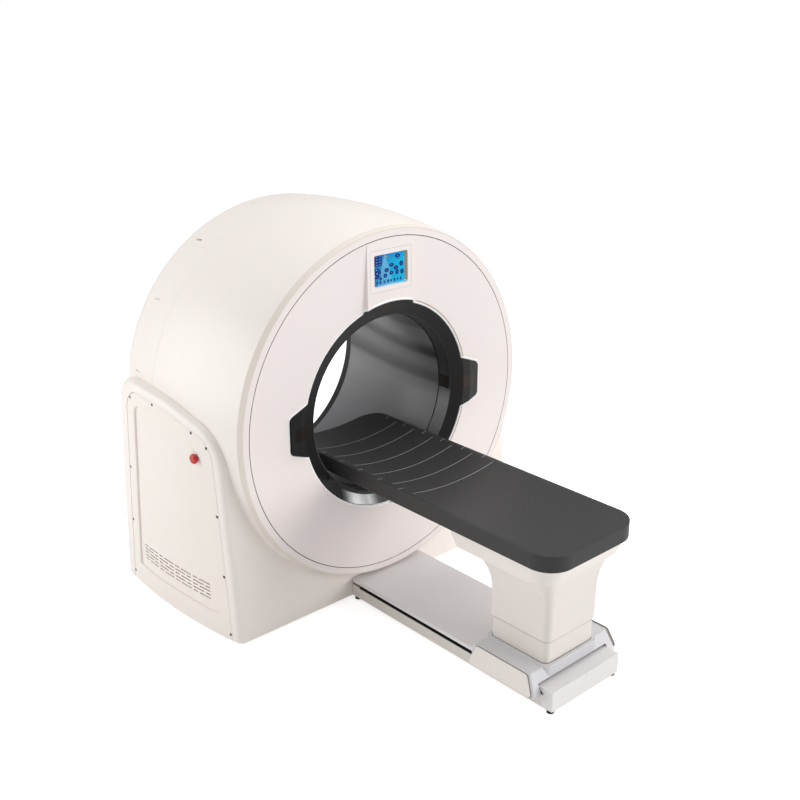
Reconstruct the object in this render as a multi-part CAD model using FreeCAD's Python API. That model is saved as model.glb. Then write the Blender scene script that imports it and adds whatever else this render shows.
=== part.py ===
import FreeCAD, Part
import math
import os

# A computed tomography scanner, in millimetres.  The gantry stands at the back (+Y) with its bore
# along Y; the patient table stands in front (-Y).  Pieces are drawn about the bore axis, with y = 0
# on the face of the gantry, and are moved at the end so that the origin lies on the floor under the
# middle of the machine.

# ---- Clearances ----
SEAM = 0.3                  # face to face between two pieces that are bolted together
SHADOW_GAP = 0.8            # visible joint between two covers
RUN_GAP = 0.5               # bearing races, belt and slip ring brushes
SHAFT_GAP = 0.1             # radial, of a shaft or stem in its bore
SLIDE_GAP = 0.4             # glide faces of the table
FREE_GAP = 4.0              # between things that pass each other

# ---- Gantry drum ----
DRUM_RADIUS = 733.0         # at the crest of the barrel
DRUM_CREST_Y = 440.0
DRUM_BULGE_RADIUS = 2300.0  # of the arc that the barrel is turned from
GANTRY_DEPTH = 825.0
REAR_ROUND = 132.0
SHELL_WALL = 8.0
SPLIT_Y = 528.0             # joint between the front and rear shells
FLOOR_GAP = 52.0            # lowest point of the drum above the floor
FOOT_HEIGHT = 13.0
HATCH_MARK_COUNT = 8
HATCH_MARK_LENGTH = 36.0
HATCH_MARK_WIDTH = 7.0
HATCH_MARK_DEPTH = 3.0
HATCH_MARK_INSET = 175.0    # in front of the rear face

# ---- Pillars and base cover ----
PILLAR_PROUD = 29.3         # beyond the drum, to each side
SIDE_BULGE_RADIUS = 2374.0
SIDE_CREST_Y = 495.0
TOE_Y = 33.0                # foot of the front face
FRONT_LEAN = 4.0
REAR_LEAN = 5.4
SHOULDER_Z = 34.0
BEND_Y = 390.0
BEND_Z = 110.0
PILLAR_TOP_Z = 125.0
SHOULDER_ROUND = 165.0
BEND_ROUND = 900.0
BACK_ROUND = 115.0
EDGE_ROUND = 26.0
BASE_FLANGE = 60.0          # inward, under the base frame
BASE_FLANGE_THICK = 6.0

# ---- Side panels ----
PANEL_THICK = 14.0
PANEL_INSET_FRONT = 42.0
PANEL_INSET_TOP = 36.0
PANEL_INSET_REAR = 73.0
PANEL_CORNER = 100.0
PANEL_SOLE_GAP = 1.0
REBATE_WIDTH = 18.0
REBATE_THICK = 6.0
FIELD_INSET_FRONT = 98.0
FIELD_INSET_TOP = 92.0
FIELD_INSET_REAR = 134.0
FIELD_INSET_SOLE = 86.0
FIELD_FRONT_CORNER = 130.0
FIELD_REAR_CORNER = 40.0
FIELD_SOLE_CORNER = 18.0
FIELD_DEPTH = 8.0
FIELD_ROUND = 6.0
VENT_ROWS = 5
VENT_PITCH = 14.9
VENT_HEIGHT = 5.5
VENT_LONG = 64.0
VENT_SHORT = 27.0
VENT_SPACE = 11.5
VENT_PAIRS = 4
VENT_TOP_DROP = 192.0       # top row above the floor line of the cover
VENT_BACK_INSET = 186.0     # rear end of the rows in front of the back of the base
SCREW_RADIUS = 5.5
SCREW_GAP = 0.4
SCREW_EDGE = 10.0           # screw centre inside the edge of the panel
SCREW_FRONT_HEIGHTS = (23.0, 261.0, 500.0)
SCREW_REAR_HEIGHTS = (35.0, 276.0, 515.0)
SCREW_TOP_STATIONS = (234.0, 470.0)
SCREW_SHORT = 2.0           # screw shorter than the panel is thick

# ---- Emergency stop ----
STOP_INSET = 95.98          # behind the front edge of the panel
STOP_Z = -71.0
STOP_HEAD_RADIUS = 19.0
STOP_HEAD_HEIGHT = 12.0
STOP_HEAD_BEVEL = 3.5
STOP_STROKE = 6.0
STOP_STEM_RADIUS = 9.0
STOP_STEM_LENGTH = 24.0
STOP_COLLAR_RADIUS = 15.0
STOP_COLLAR_HEIGHT = 4.0
STOP_BODY_RADIUS = 13.0
STOP_BODY_LENGTH = 32.0

# ---- Front ring and cover ----
TRIM_DEPTH = 23.0
TRIM_THICK = 3.0
TRIM_SLOPE = 8.0            # growth of the trim band's radius over its depth
RIM_WIDTH = 27.0
RIM_FLANGE = 16.0
GROOVE_WIDTH = 3.0
COVER_THICK = 6.0
DISH_DEPTH = 10.0
BEVEL_WIDTH = 16.0
BEVEL_DEPTH = 5.0
COLUMN_HALF = 115.5
COLUMN_PROUD = 5.0
COLUMN_FADE = 0.6
COLUMN_SIDE_SLOPE = 6.0
COLUMN_END_GAP = 14.3       # outside the bore ring
CROWN_SPLAY = 0.6           # sideways per unit of height, of the two ends of the ring's crown

# ---- Display ----
DISPLAY_Z = 539.0
DISPLAY_WIDTH = 201.0
DISPLAY_HEIGHT = 156.0
DISPLAY_CORNER = 8.0
WINDOW_WIDTH = 165.0
WINDOW_HEIGHT = 122.0
DISPLAY_DEPTH = 20.0
SCREEN_THICK = 10.0
BEZEL_BACK = 30.0

# ---- Bore ----
BORE_RADIUS = 350.0
RING_RADIUS = BORE_RADIUS + 52.7
RING_LIP_RADIUS = BORE_RADIUS + 4.4
RING_LIP_Y = 33.0
RING_FLAT_RADIUS = BORE_RADIUS + 85.0
RING_THICK = 12.0
EAR_REACH = BORE_RADIUS + 127.0
EAR_TIP_HALF = 68.0
EAR_ROOT_HALF = 112.0
EAR_ROOT_X = BORE_RADIUS + 16.0
EAR_CORNER = 20.0
EAR_GAP = 0.5
LASER_HALF = 24.0
LASER_IN = BORE_RADIUS + 12.0
LASER_OUT = BORE_RADIUS + 108.0
LASER_TOP_HALF = 33.0
LASER_TOP_IN = BORE_RADIUS + 17.0
LASER_THICK = 2.0
TRIM_ARC_HALF = 54.0        # degrees either side of straight down
TRIM_ARC_IN = BORE_RADIUS + 16.0
TRIM_ARC_THICK = 3.0
BAND_RADIUS = BORE_RADIUS + 2.0
BAND_WALL = 6.0
BAND_END_Y = 99.0
LINER_WALL = 5.0
FLARE_START_Y = 330.0       # crease of the liner, before it is rounded
FLARE_BEND = 1500.0         # radius of that rounding
FLARE_END_GAP = 66.0        # from the end of the liner to the rear face
FLARE_RADIUS = BORE_RADIUS + 82.0
REAR_RING_RADIUS = BORE_RADIUS + 112.0
REAR_RING_WIDTH = 12.0
REAR_COVER_EDGE = 12.0      # flat of the rear shell outside the rear cover

# ---- Gantry mechanism ----
ROTOR_PLATE_Y = 430.0
ROTOR_PLATE_THICK = 25.0
ROTOR_RADIUS = 600.0
ROTOR_EYE = 402.0
PULLEY_RIM_DEPTH = 40.0
PULLEY_RIM_WIDTH = 30.0
SPOKE_HOLES = 12
SPOKE_HOLE_RADIUS = 38.0
SPOKE_HOLE_CIRCLE = 530.0
RACE_RADIUS = 500.0
RACE_WIDTH = 30.0
RACE_DEPTH = 80.0
RACE_STEP = 10.0
CARRIER_THICK = 40.0
CARRIER_RADIUS = 688.0
CARRIER_EYE = 508.0
CARRIER_EAR_HALF = 150.0
SLIP_OUTER = 466.0
SLIP_INNER = 432.0
SLIP_DEPTH = 90.0
SLIP_GROOVES = 4
SLIP_GROOVE_WIDTH = 8.0
SLIP_GROOVE_DEPTH = 5.0
BRUSH_DEPTH = 60.0
BRUSH_HALF = 45.0
FOCUS_HEIGHT = 541.0        # x-ray focus above the bore axis
DETECTOR_DISTANCE = 949.0   # focus to detector
DETECTOR_HALF_ANGLE = 25.0
DETECTOR_THICK = 62.0
DETECTOR_DEPTH = 140.0
SCAN_PLANE_Y = 330.0
TUBE_RADIUS = 84.0
TUBE_LENGTH = 236.0
TUBE_CAP_RADIUS = 58.0
TUBE_CAP_LENGTH = 16.0
COLLIMATOR_HALF = 90.0
COLLIMATOR_SHORT = 60.0
COLLIMATOR_HEIGHT = 62.0
TANK_HALF = 105.0
TANK_RADIAL = 120.0
TANK_DEPTH = 190.0
SIDE_PACK_RADIUS = 420.0    # inner face of the tank
SIDE_WEIGHT = (420.0, 540.0, 23.0, 115.0)   # inner and outer radius, half angle and depth
LOW_WEIGHT = (500.0, 596.0, 22.5, 116.0)
MOTOR_X = 560.0
MOTOR_Z = -600.0
MOTOR_RADIUS = 78.0
MOTOR_LENGTH = 170.0
MOTOR_FOOT_HALF = 70.0
PULLEY_RADIUS = 50.0
PULLEY_WIDTH = 34.0
SHAFT_RADIUS = 12.0
SHAFT_ENGAGE = 36.0
BELT_THICK = 4.0

# ---- Base frame ----
FRAME_INSET = 62.3          # inside the widest point of the pillars
FRAME_BEAM = 100.0
FRAME_HEIGHT = 40.0
FRAME_FRONT_Y = 110.0
FRAME_REAR_INSET = 45.0
UPRIGHT_INSET = 34.3
UPRIGHT_WIDTH = 60.0
UPRIGHT_DEPTH = 90.0
UPRIGHT_TOP = 60.0
CABINET_INSET = 72.3
CABINET_WIDTH = 130.0
CABINET_HEIGHT = 225.0
CABINET_FRONT_Y = 120.0
CABINET_BACK_Y = 400.0
CABINET_CORNER = 12.0
FOOT_RADIUS = 30.0
FOOT_SIDE_INSET = 144.3
FOOT_INSET = 60.0

# ---- Table rail ----
RAIL_HALF = 179.0
RAIL_WALL = 8.0
RAIL_DRUM_GAP = 2.0         # top of the rail under the front ring
RAIL_COVER_THICK = 3.0
RAIL_COVER_LIP = 15.0
RAIL_SLOT = 12.0
RAIL_RIDGE_HALF = 60.0
GUIDE_X = RAIL_HALF - 49.0
GUIDE_HALF = 10.0
GUIDE_HEIGHT = 22.0
BLOCK_WALL = 9.0
BLOCK_LENGTH = 80.0
END_BLOCK_LENGTH = 53.0
END_BLOCK_RISE = 1.0
END_SLOT_LENGTH = 13.0      # of the side slots where they run into the end block
END_HOLE_RADIUS = 3.0
END_HOLE_DEPTH = 4.0
END_HOLE_DROP = 7.0
TABLE_REACH = 1017.0        # outer end of the tabletop in front of the gantry face
END_BLOCK_INSET = 10.5      # behind the outer end of the tabletop
RAIL_FOOT_RADIUS = 13.0
RAIL_FOOT_X = RAIL_HALF - 14.0
RAIL_FOOT_INSET = 18.0

# ---- Carriage ----
SADDLE_OUTER_INSET = 57.0   # foot of the saddle's outer end behind the end of the tabletop's reach
SADDLE_LENGTH = 291.0
SADDLE_OUT_SLOPE = 35.0
SADDLE_RISE = 48.0          # top of the saddle above the rail
SADDLE_TOP_HALF = RAIL_HALF + 35.0
SADDLE_FOOT_HALF = RAIL_HALF + 49.0
SADDLE_DROP = 24.0          # foot of the saddle below the rail top
SADDLE_CORNER = 18.0
SADDLE_EDGE = 5.0
SADDLE_WALL = 9.0           # depth of the column's socket in the saddle
CHANNEL_GAP = 10.0          # roof of the saddle's channel above the rail
PLATE_THICK = 5.0
PLATE_MARGIN = 2.0
PLATE_LIP = 3.0             # top edge of the side plates above the saddle
PLATE_REAR_INSET = 19.0      # its top rear corner in front of the end of the saddle
PLATE_REAR_REACH = 10.0      # its lower one behind it
PLATE_EDGE = 2.0
PLATE_CORNER = 12.0
TONGUE_THICK = 6.0
TONGUE_LENGTH = 230.0
PEDESTAL_MARGIN = 15.0      # of the pedestal round the column
PEDESTAL_RISE = 4.0
PEDESTAL_EDGE = 2.0
LOWER_HALF_X = 127.0
LOWER_LENGTH = 260.0
LOWER_CORNER = 22.0
LOWER_WALL = 6.0
COLUMN_OUTER_INSET = 89.0   # outer face of the lower column behind the end of the tabletop's reach
PAD_THICK = 1.6
PAD_HEIGHT = 60.0
PAD_HALF = 30.0
ACTUATOR_RADIUS = 30.0
ACTUATOR_DROP = 94.0        # its top below the top of the lower column
ACTUATOR_FLOOR = 12.0
ROD_RADIUS = 14.0
ROD_CLEARANCE = 25.0        # end of the rod above that floor at the lowest position
LIFT_DOWN = 15.0
LIFT_UP = 140.0

# ---- Lifting part ----
TABLETOP_LENGTH = 1386.5
TABLETOP_WIDTH = 460.0
TABLETOP_THICK = 61.6
TABLETOP_BORE_GAP = 17.15   # between its lower corners and the bore
TABLETOP_SAG = 25.0
TABLETOP_RIM = 12.0
TABLETOP_INNER_CORNER = 92.0
TABLETOP_OUTER_CORNER = 95.0
TABLETOP_EDGE = 5.0
DISH_STATIONS = ((0.0, 1.0), (650.0, 1.0), (1000.0, 0.62), (1400.0, 0.18))
TRAY_DEPTH = 64.0
TRAY_SIDE_INSET = 9.0
TRAY_OUTER_INSET = 12.0
TRAY_LENGTH = 513.5
TRAY_CORNER = 84.0
TRAY_TAPER_SIDE = 10.0
TRAY_TAPER_OUTER = 29.0
TRAY_TAPER_INNER = 34.0
SLEEVE_WALL = 5.0
SLEEVE_REVEAL = 91.5        # of the lower column under the sleeve
FLARE_HEIGHT = 150.0
FLARE_STEPS = 5
SLEEVE_CORNER = 26.0
PLUG_RADIUS = 2.5
PLUG_DEPTH = 3.0
PLUG_SIDE_INSET = 36.0
PLUG_SIDE_DROP = 91.0
PLUG_FRONT_X = 105.0
PLUG_FRONT_DROPS = (67.0, 117.0)

# ---- Derived stations ----
AXIS_HEIGHT = DRUM_RADIUS + FLOOR_GAP
SOLE_Z = FOOT_HEIGHT - AXIS_HEIGHT
SIDE_HALF = DRUM_RADIUS + PILLAR_PROUD
FRAME_HALF = SIDE_HALF - FRAME_INSET
UPRIGHT_OUT = SIDE_HALF - UPRIGHT_INSET
UPRIGHT_IN = UPRIGHT_OUT - UPRIGHT_WIDTH
CABINET_OUT = SIDE_HALF - CABINET_INSET
CABINET_IN = CABINET_OUT - CABINET_WIDTH
FOOT_X = SIDE_HALF - FOOT_SIDE_INSET
FACE_Y = (TABLE_REACH - GANTRY_DEPTH) / 2
TABLETOP_Z = TABLETOP_THICK - math.sqrt((BORE_RADIUS - TABLETOP_BORE_GAP) ** 2 - (TABLETOP_WIDTH / 2) ** 2)
FULL = 3000.0               # longer than anything that it cuts
V = FreeCAD.Vector
X_AXIS = V(1, 0, 0)
Y_AXIS = V(0, 1, 0)
Z_AXIS = V(0, 0, 1)
ORIGIN = V(0, 0, 0)


# ---------------------------------------------------------------- helpers

def box(x0, x1, y0, y1, z0, z1):
    """A box between two corners."""
    return Part.makeBox(x1 - x0, y1 - y0, z1 - z0, V(x0, y0, z0))


def cylinder_y(radius, y0, y1, x=0.0, z=0.0):
    """A round bar along Y."""
    return Part.makeCylinder(radius, y1 - y0, V(x, y0, z), Y_AXIS)


def cylinder_z(radius, z0, z1, x=0.0, y=0.0):
    """A round bar along Z."""
    return Part.makeCylinder(radius, z1 - z0, V(x, y, z0), Z_AXIS)


def tube_y(outer, inner, y0, y1):
    """A plain ring about the bore axis."""
    return cylinder_y(outer, y0, y1).cut(cylinder_y(inner, y0, y1))


def fuse_all(solids):
    """The union of a list of solids."""
    result = solids[0]
    for solid in solids[1:]:
        result = result.fuse(solid)
    return result.removeSplitter()


def cut_all(solid, tools):
    """A solid less a list of others."""
    for tool in tools:
        solid = solid.cut(tool)
    return solid


def mirrored(shape):
    """The same piece on the other side of the machine."""
    return shape.mirror(ORIGIN, X_AXIS)


def rounded_wire(points, radii):
    """A closed wire through corners, each rounded by its own radius."""
    count = len(points)
    starts = []
    ends = []
    mids = []
    for index in range(count):
        corner = points[index]
        back = (points[index - 1] - corner).normalize()
        ahead = (points[(index + 1) % count] - corner).normalize()
        half = back.getAngle(ahead) / 2
        reach = radii[index] / math.tan(half)
        starts.append(corner + back * reach)
        ends.append(corner + ahead * reach)
        inward = (back + ahead).normalize()
        mids.append(corner + inward * (radii[index] / math.sin(half) - radii[index]))
    edges = []
    for index in range(count):
        if radii[index] > 0:
            edges.append(Part.Arc(starts[index], mids[index], ends[index]).toShape())
        following = starts[(index + 1) % count]
        if ends[index].distanceToPoint(following) > 1e-6:
            edges.append(Part.LineSegment(ends[index], following).toShape())
    return Part.Wire(edges)


def prism(points, radii, sweep):
    """A rounded outline pushed along a vector."""
    return Part.Face(rounded_wire(points, radii)).extrude(sweep)


def turned(profile, radii=None):
    """A closed (radius, y) profile turned about the bore axis, its corners rounded if asked."""
    points = [V(radius, y, 0) for radius, y in profile]
    face = Part.Face(rounded_wire(points, radii or [0] * len(points)))
    return face.revolve(ORIGIN, Y_AXIS, 360)


def edge_middle(edge):
    """The point half way along an edge."""
    return edge.valueAt((edge.FirstParameter + edge.LastParameter) / 2)


def inset_corners(lines):
    """Corners of a closed outline given as (point, direction) lines in the YZ plane."""
    corners = []
    for index in range(len(lines)):
        point_a, along_a = lines[index - 1]
        point_b, along_b = lines[index]
        across = along_a.y * along_b.z - along_a.z * along_b.y
        gap = point_b - point_a
        reach = (gap.y * along_b.z - gap.z * along_b.y) / across
        corners.append(point_a + along_a * reach)
    return corners


# ---------------------------------------------------------------- gantry outline

def barrel_radius(y):
    """Radius of the drum at a station behind the face."""
    rise = y - DRUM_CREST_Y
    return DRUM_RADIUS - DRUM_BULGE_RADIUS + math.sqrt(DRUM_BULGE_RADIUS ** 2 - rise ** 2)


def side_x(y):
    """Half width of the pillars at a station behind the face."""
    rise = y - SIDE_CREST_Y
    return SIDE_HALF - SIDE_BULGE_RADIUS + math.sqrt(SIDE_BULGE_RADIUS ** 2 - rise ** 2)


def pillar_corners(front, top, rear, sole):
    """Corners of the pillar's side outline, each face moved inward by its own inset."""
    front_way = V(0, math.tan(math.radians(FRONT_LEAN)), 1).normalize()
    rear_way = V(0, -math.tan(math.radians(REAR_LEAN)), 1).normalize()
    toe = V(0, TOE_Y, SOLE_Z)
    heel = V(0, GANTRY_DEPTH, SOLE_Z)
    shoulder = toe + front_way * ((SHOULDER_Z - SOLE_Z) / front_way.z)
    bend = V(0, BEND_Y, BEND_Z)
    back = heel + rear_way * ((PILLAR_TOP_Z - SOLE_Z) / rear_way.z)
    slope_way = (bend - shoulder).normalize()
    top_way = (back - bend).normalize()
    lines = [
        (toe + V(0, 0, sole), V(0, -1, 0)),
        (toe + V(0, front_way.z, -front_way.y) * front, front_way),
        (shoulder + V(0, slope_way.z, -slope_way.y) * top, slope_way),
        (back + V(0, top_way.z, -top_way.y) * top, top_way),
        (heel + V(0, -rear_way.z, rear_way.y) * rear, rear_way),
    ]
    corners = inset_corners(lines)
    return corners[1:] + corners[:1]


def side_outline(front, top, rear, sole, radii, x0, x1):
    """A prism across the machine with the pillar's outline, moved inward."""
    corners = [corner + V(x0, 0, 0) for corner in pillar_corners(front, top, rear, sole)]
    return prism(corners, radii, V(x1 - x0, 0, 0))


def side_barrel(inset, z0, z1):
    """The space between the two bulging sides."""
    y0 = -FULL / 8
    y1 = GANTRY_DEPTH + FULL / 8
    ends = []
    for y in (y0, SIDE_CREST_Y, y1):
        ends.append(V(side_x(y) - inset, y, z0))
    right = Part.Arc(ends[0], ends[1], ends[2]).toShape()
    left_points = [V(-point.x, point.y, point.z) for point in reversed(ends)]
    left = Part.Arc(left_points[0], left_points[1], left_points[2]).toShape()
    back = Part.LineSegment(ends[2], left_points[0]).toShape()
    front = Part.LineSegment(left_points[2], ends[0]).toShape()
    wire = Part.Wire([right, back, left, front])
    return Part.Face(wire).extrude(V(0, 0, z1 - z0))


def pillar_body(inset):
    """Both pillars and the base as one block, moved inward by a wall."""
    radii = [0, SHOULDER_ROUND - inset, BEND_ROUND, BACK_ROUND - inset, 0]
    block = side_outline(inset, inset, inset, 0, radii, -FULL / 2, FULL / 2)
    block = block.common(side_barrel(inset, SOLE_Z - 1, FULL / 4))
    round_radius = EDGE_ROUND - inset
    edges = []
    for edge in block.Edges:
        middle = edge_middle(edge)
        at_side = abs(abs(middle.x) - side_x(middle.y) + inset) < SEAM
        if at_side and middle.z > SOLE_Z + 1 and edge.Length > 1:
            edges.append(edge)
    return block.makeFillet(round_radius, edges)


def drum_body(inset):
    """The barrel with its rounded rear edge, moved inward by a wall."""
    y0 = 0.0 - inset
    y1 = GANTRY_DEPTH - REAR_ROUND
    middle = (y0 + y1) / 2
    rear = GANTRY_DEPTH - inset
    outer = barrel_radius(y1) - inset
    bend = REAR_ROUND - inset
    half = math.sqrt(0.5) * bend
    start = V(0, y0, 0)
    first = V(barrel_radius(y0) - inset, y0, 0)
    crest = V(barrel_radius(middle) - inset, middle, 0)
    last = V(outer, y1, 0)
    corner = V(outer - bend + half, y1 + half, 0)
    flat = V(outer - bend, rear, 0)
    end = V(0, rear, 0)
    edges = [
        Part.LineSegment(start, first).toShape(),
        Part.Arc(first, crest, last).toShape(),
        Part.Arc(last, corner, flat).toShape(),
        Part.LineSegment(flat, end).toShape(),
        Part.LineSegment(end, start).toShape(),
    ]
    return Part.Face(Part.Wire(edges)).revolve(ORIGIN, Y_AXIS, 360)


def rear_opening_radius():
    """Radius of the rear shell's mouth, just inside its rounded edge."""
    return barrel_radius(GANTRY_DEPTH - REAR_ROUND) - REAR_ROUND - REAR_COVER_EDGE


PANEL_RADII = [0, PANEL_CORNER, BEND_ROUND, PANEL_CORNER, 0]


def panel_prism(outset, x0, x1, sole):
    """The panel's outline pushed across one side, grown by an outset."""
    insets = (PANEL_INSET_FRONT - outset, PANEL_INSET_TOP - outset, PANEL_INSET_REAR - outset)
    return side_outline(insets[0], insets[1], insets[2], sole, PANEL_RADII, x0, x1)


def hatch_mark(angle):
    """One oval mark cut in the rear shell."""
    y = GANTRY_DEPTH - HATCH_MARK_INSET
    half = HATCH_MARK_WIDTH / 2
    reach = (HATCH_MARK_LENGTH - HATCH_MARK_WIDTH) / 2
    floor = barrel_radius(y) - HATCH_MARK_DEPTH
    points = [V(floor, y - reach - half, -half), V(floor, y - reach - half, half),
              V(floor, y + reach + half, half), V(floor, y + reach + half, -half)]
    mark = prism(points, [half * 0.9] * 4, V(HATCH_MARK_LENGTH, 0, 0))
    mark.rotate(ORIGIN, Y_AXIS, -angle)
    return mark


def gantry_shells():
    """The two moulded shells: barrel, pillars and base skirt, split across the drum."""
    outer = drum_body(0).fuse(pillar_body(0))
    shell = outer.cut(drum_body(SHELL_WALL)).cut(pillar_body(SHELL_WALL))
    floor = side_outline(SHELL_WALL / 2, SHELL_WALL / 2, SHELL_WALL / 2, 0,
                         [0, SHOULDER_ROUND, BEND_ROUND, BACK_ROUND, 0], -FULL / 2, FULL / 2)
    floor = floor.common(side_barrel(SHELL_WALL / 2, SOLE_Z, SOLE_Z + BASE_FLANGE_THICK))
    hatch = side_outline(BASE_FLANGE, BASE_FLANGE, BASE_FLANGE, 0,
                         [0, SHOULDER_ROUND, BEND_ROUND, BACK_ROUND, 0], -FULL / 2, FULL / 2)
    hatch = hatch.common(side_barrel(BASE_FLANGE, SOLE_Z - 1, SOLE_Z + FULL))
    shell = shell.fuse(floor.cut(hatch))
    shell = shell.cut(cylinder_y(rear_opening_radius(), SPLIT_Y, FULL))
    shell = shell.cut(cylinder_y(DRUM_RADIUS, -FULL, TRIM_DEPTH + SEAM))
    for side in (-1, 1):
        x0, x1 = sorted((side * SIDE_HALF / 2, side * FULL / 2))
        frame = panel_prism(REBATE_WIDTH / 2, x0, x1, 0)
        deep = SHELL_WALL / 2
        frame = frame.common(side_barrel(deep, SOLE_Z, FULL / 4))
        frame = frame.cut(side_barrel(PANEL_THICK + SEAM + REBATE_THICK, SOLE_Z - 1, FULL / 4))
        frame = frame.cut(panel_prism(-REBATE_WIDTH, x0, x1, 0))
        shell = shell.fuse(frame)
        pocket = panel_prism(SHADOW_GAP, x0, x1, -1)
        pocket = pocket.cut(side_barrel(PANEL_THICK + SEAM, SOLE_Z - FULL / 4, FULL / 4))
        shell = shell.cut(pocket)
    for index in range(HATCH_MARK_COUNT):
        shell = shell.cut(hatch_mark(180 * (index + 0.5) / HATCH_MARK_COUNT))
    front = shell.common(box(-FULL, FULL, -FULL, SPLIT_Y - SHADOW_GAP / 2, -FULL, FULL))
    rear = shell.common(box(-FULL, FULL, SPLIT_Y + SHADOW_GAP / 2, FULL, -FULL, FULL))
    return front, rear


# ---------------------------------------------------------------- side panels and stop button

def panel_edge_y(z, front):
    """Where the panel's front or rear edge crosses a height above the floor line."""
    height = z - SOLE_Z
    if front:
        return TOE_Y + height * math.tan(math.radians(FRONT_LEAN)) + PANEL_INSET_FRONT
    return GANTRY_DEPTH - height * math.tan(math.radians(REAR_LEAN)) - PANEL_INSET_REAR


def panel_top_z(y):
    """Height of the panel's top edge at a station."""
    corners = pillar_corners(PANEL_INSET_FRONT, PANEL_INSET_TOP, PANEL_INSET_REAR, 0)
    left, right = (corners[1], corners[2]) if y < corners[2].y else (corners[2], corners[3])
    return left.z + (right.z - left.z) * (y - left.y) / (right.y - left.y)


def screw_stations():
    """(y, z) of the screws round one panel."""
    stations = []
    for height in SCREW_FRONT_HEIGHTS:
        z = SOLE_Z + height
        stations.append((panel_edge_y(z, True) + SCREW_EDGE, z))
    for height in SCREW_REAR_HEIGHTS:
        z = SOLE_Z + height
        stations.append((panel_edge_y(z, False) - SCREW_EDGE, z))
    for y in SCREW_TOP_STATIONS:
        stations.append((y, panel_top_z(y) - SCREW_EDGE))
    corners = pillar_corners(PANEL_INSET_FRONT, PANEL_INSET_TOP, PANEL_INSET_REAR, 0)
    for index in (1, 3):
        corner = corners[index]
        back = (corners[index - 1] - corner).normalize()
        ahead = (corners[index + 1] - corner).normalize()
        half = back.getAngle(ahead) / 2
        inward = (back + ahead).normalize()
        spot = corner + inward * (PANEL_CORNER / math.sin(half) - PANEL_CORNER + SCREW_EDGE)
        stations.append((spot.y, spot.z))
    return stations


def vent_slots(x0, x1):
    """Rows of long and short slots, alternating from row to row."""
    slots = []
    back = GANTRY_DEPTH - VENT_BACK_INSET
    for row in range(VENT_ROWS):
        z = SOLE_Z + VENT_TOP_DROP - row * VENT_PITCH
        lengths = (VENT_SHORT, VENT_LONG) if row % 2 == 0 else (VENT_LONG, VENT_SHORT)
        y = back
        for index in range(2 * VENT_PAIRS):
            length = lengths[index % 2]
            slots.append(box(x0, x1, y - length, y, z - VENT_HEIGHT / 2, z + VENT_HEIGHT / 2))
            y -= length + VENT_SPACE
    return Part.makeCompound(slots)


def stop_placement(side, depth):
    """Frame of the stop button: +Z out of the panel, origin a depth below its outer face."""
    y = panel_edge_y(STOP_Z, True) + STOP_INSET
    lean = math.degrees(math.asin((SIDE_CREST_Y - y) / SIDE_BULGE_RADIUS))
    outward = V(side * math.cos(math.radians(lean)), -math.sin(math.radians(lean)), 0)
    point = V(side * side_x(y), y, STOP_Z) - outward * depth
    return FreeCAD.Placement(point, FreeCAD.Rotation(Z_AXIS, outward))


def placed(shape, placement):
    """A copy of a shape moved from its own frame."""
    moved = shape.copy()
    moved.Placement = placement.multiply(moved.Placement)
    return moved


def side_panel(side):
    """A service panel: curved plate with a sunk field, vents and screw holes."""
    x0, x1 = sorted((side * SIDE_HALF / 2, side * FULL / 2))
    panel = panel_prism(0, x0, x1, 0)
    panel = panel.common(side_barrel(0, SOLE_Z, FULL / 4))
    panel = panel.cut(side_barrel(PANEL_THICK, SOLE_Z - 1, FULL / 4))
    radii = [FIELD_SOLE_CORNER, FIELD_FRONT_CORNER, BEND_ROUND, FIELD_REAR_CORNER, FIELD_SOLE_CORNER]
    field = side_outline(FIELD_INSET_FRONT, FIELD_INSET_TOP, FIELD_INSET_REAR, FIELD_INSET_SOLE,
                         radii, x0, x1)
    field = field.cut(side_barrel(FIELD_DEPTH, SOLE_Z - 1, FULL / 4))
    field_zone = field.BoundBox
    field_zone.enlarge(SEAM)
    panel = panel.cut(field)
    rim_edges = []
    for edge in panel.Edges:
        middle = edge_middle(edge)
        on_face = abs(abs(middle.x) - side_x(middle.y)) < SEAM
        if on_face and field_zone.isInside(middle):
            rim_edges.append(edge)
    panel = panel.makeFillet(FIELD_ROUND, rim_edges)
    panel = panel.cut(vent_slots(x0, x1))
    for y, z in screw_stations():
        drill = Part.makeCylinder(SCREW_RADIUS + SCREW_GAP, FULL, V(0, y, z), X_AXIS * side)
        panel = panel.cut(drill)
    if side < 0:
        bore = cylinder_z(STOP_BODY_RADIUS + SHAFT_GAP, -FULL / 30, FULL / 30)
        panel = panel.cut(placed(bore, stop_placement(side, FIELD_DEPTH)))
    return panel


def panel_screws():
    """Ten countersunk screws in each panel, flush with its face."""
    screws = []
    for side in (-1, 1):
        for y, z in screw_stations():
            face = side_x(y)
            length = PANEL_THICK - SCREW_SHORT
            start = V(side * (face - length), y, z)
            screws.append(Part.makeCylinder(SCREW_RADIUS, length, start, X_AXIS * side))
    return Part.makeCompound(screws)


def stop_collar():
    """Collar and contact body of the emergency stop, hollow for the stem."""
    collar = cylinder_z(STOP_COLLAR_RADIUS, SEAM, STOP_COLLAR_HEIGHT)
    body = cylinder_z(STOP_BODY_RADIUS, -STOP_BODY_LENGTH, SEAM + 1)
    bore = cylinder_z(STOP_STEM_RADIUS + SHAFT_GAP, -STOP_STEM_LENGTH, STOP_COLLAR_HEIGHT + 1)
    return placed(collar.fuse(body).cut(bore).removeSplitter(), stop_placement(-1, FIELD_DEPTH))


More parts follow.
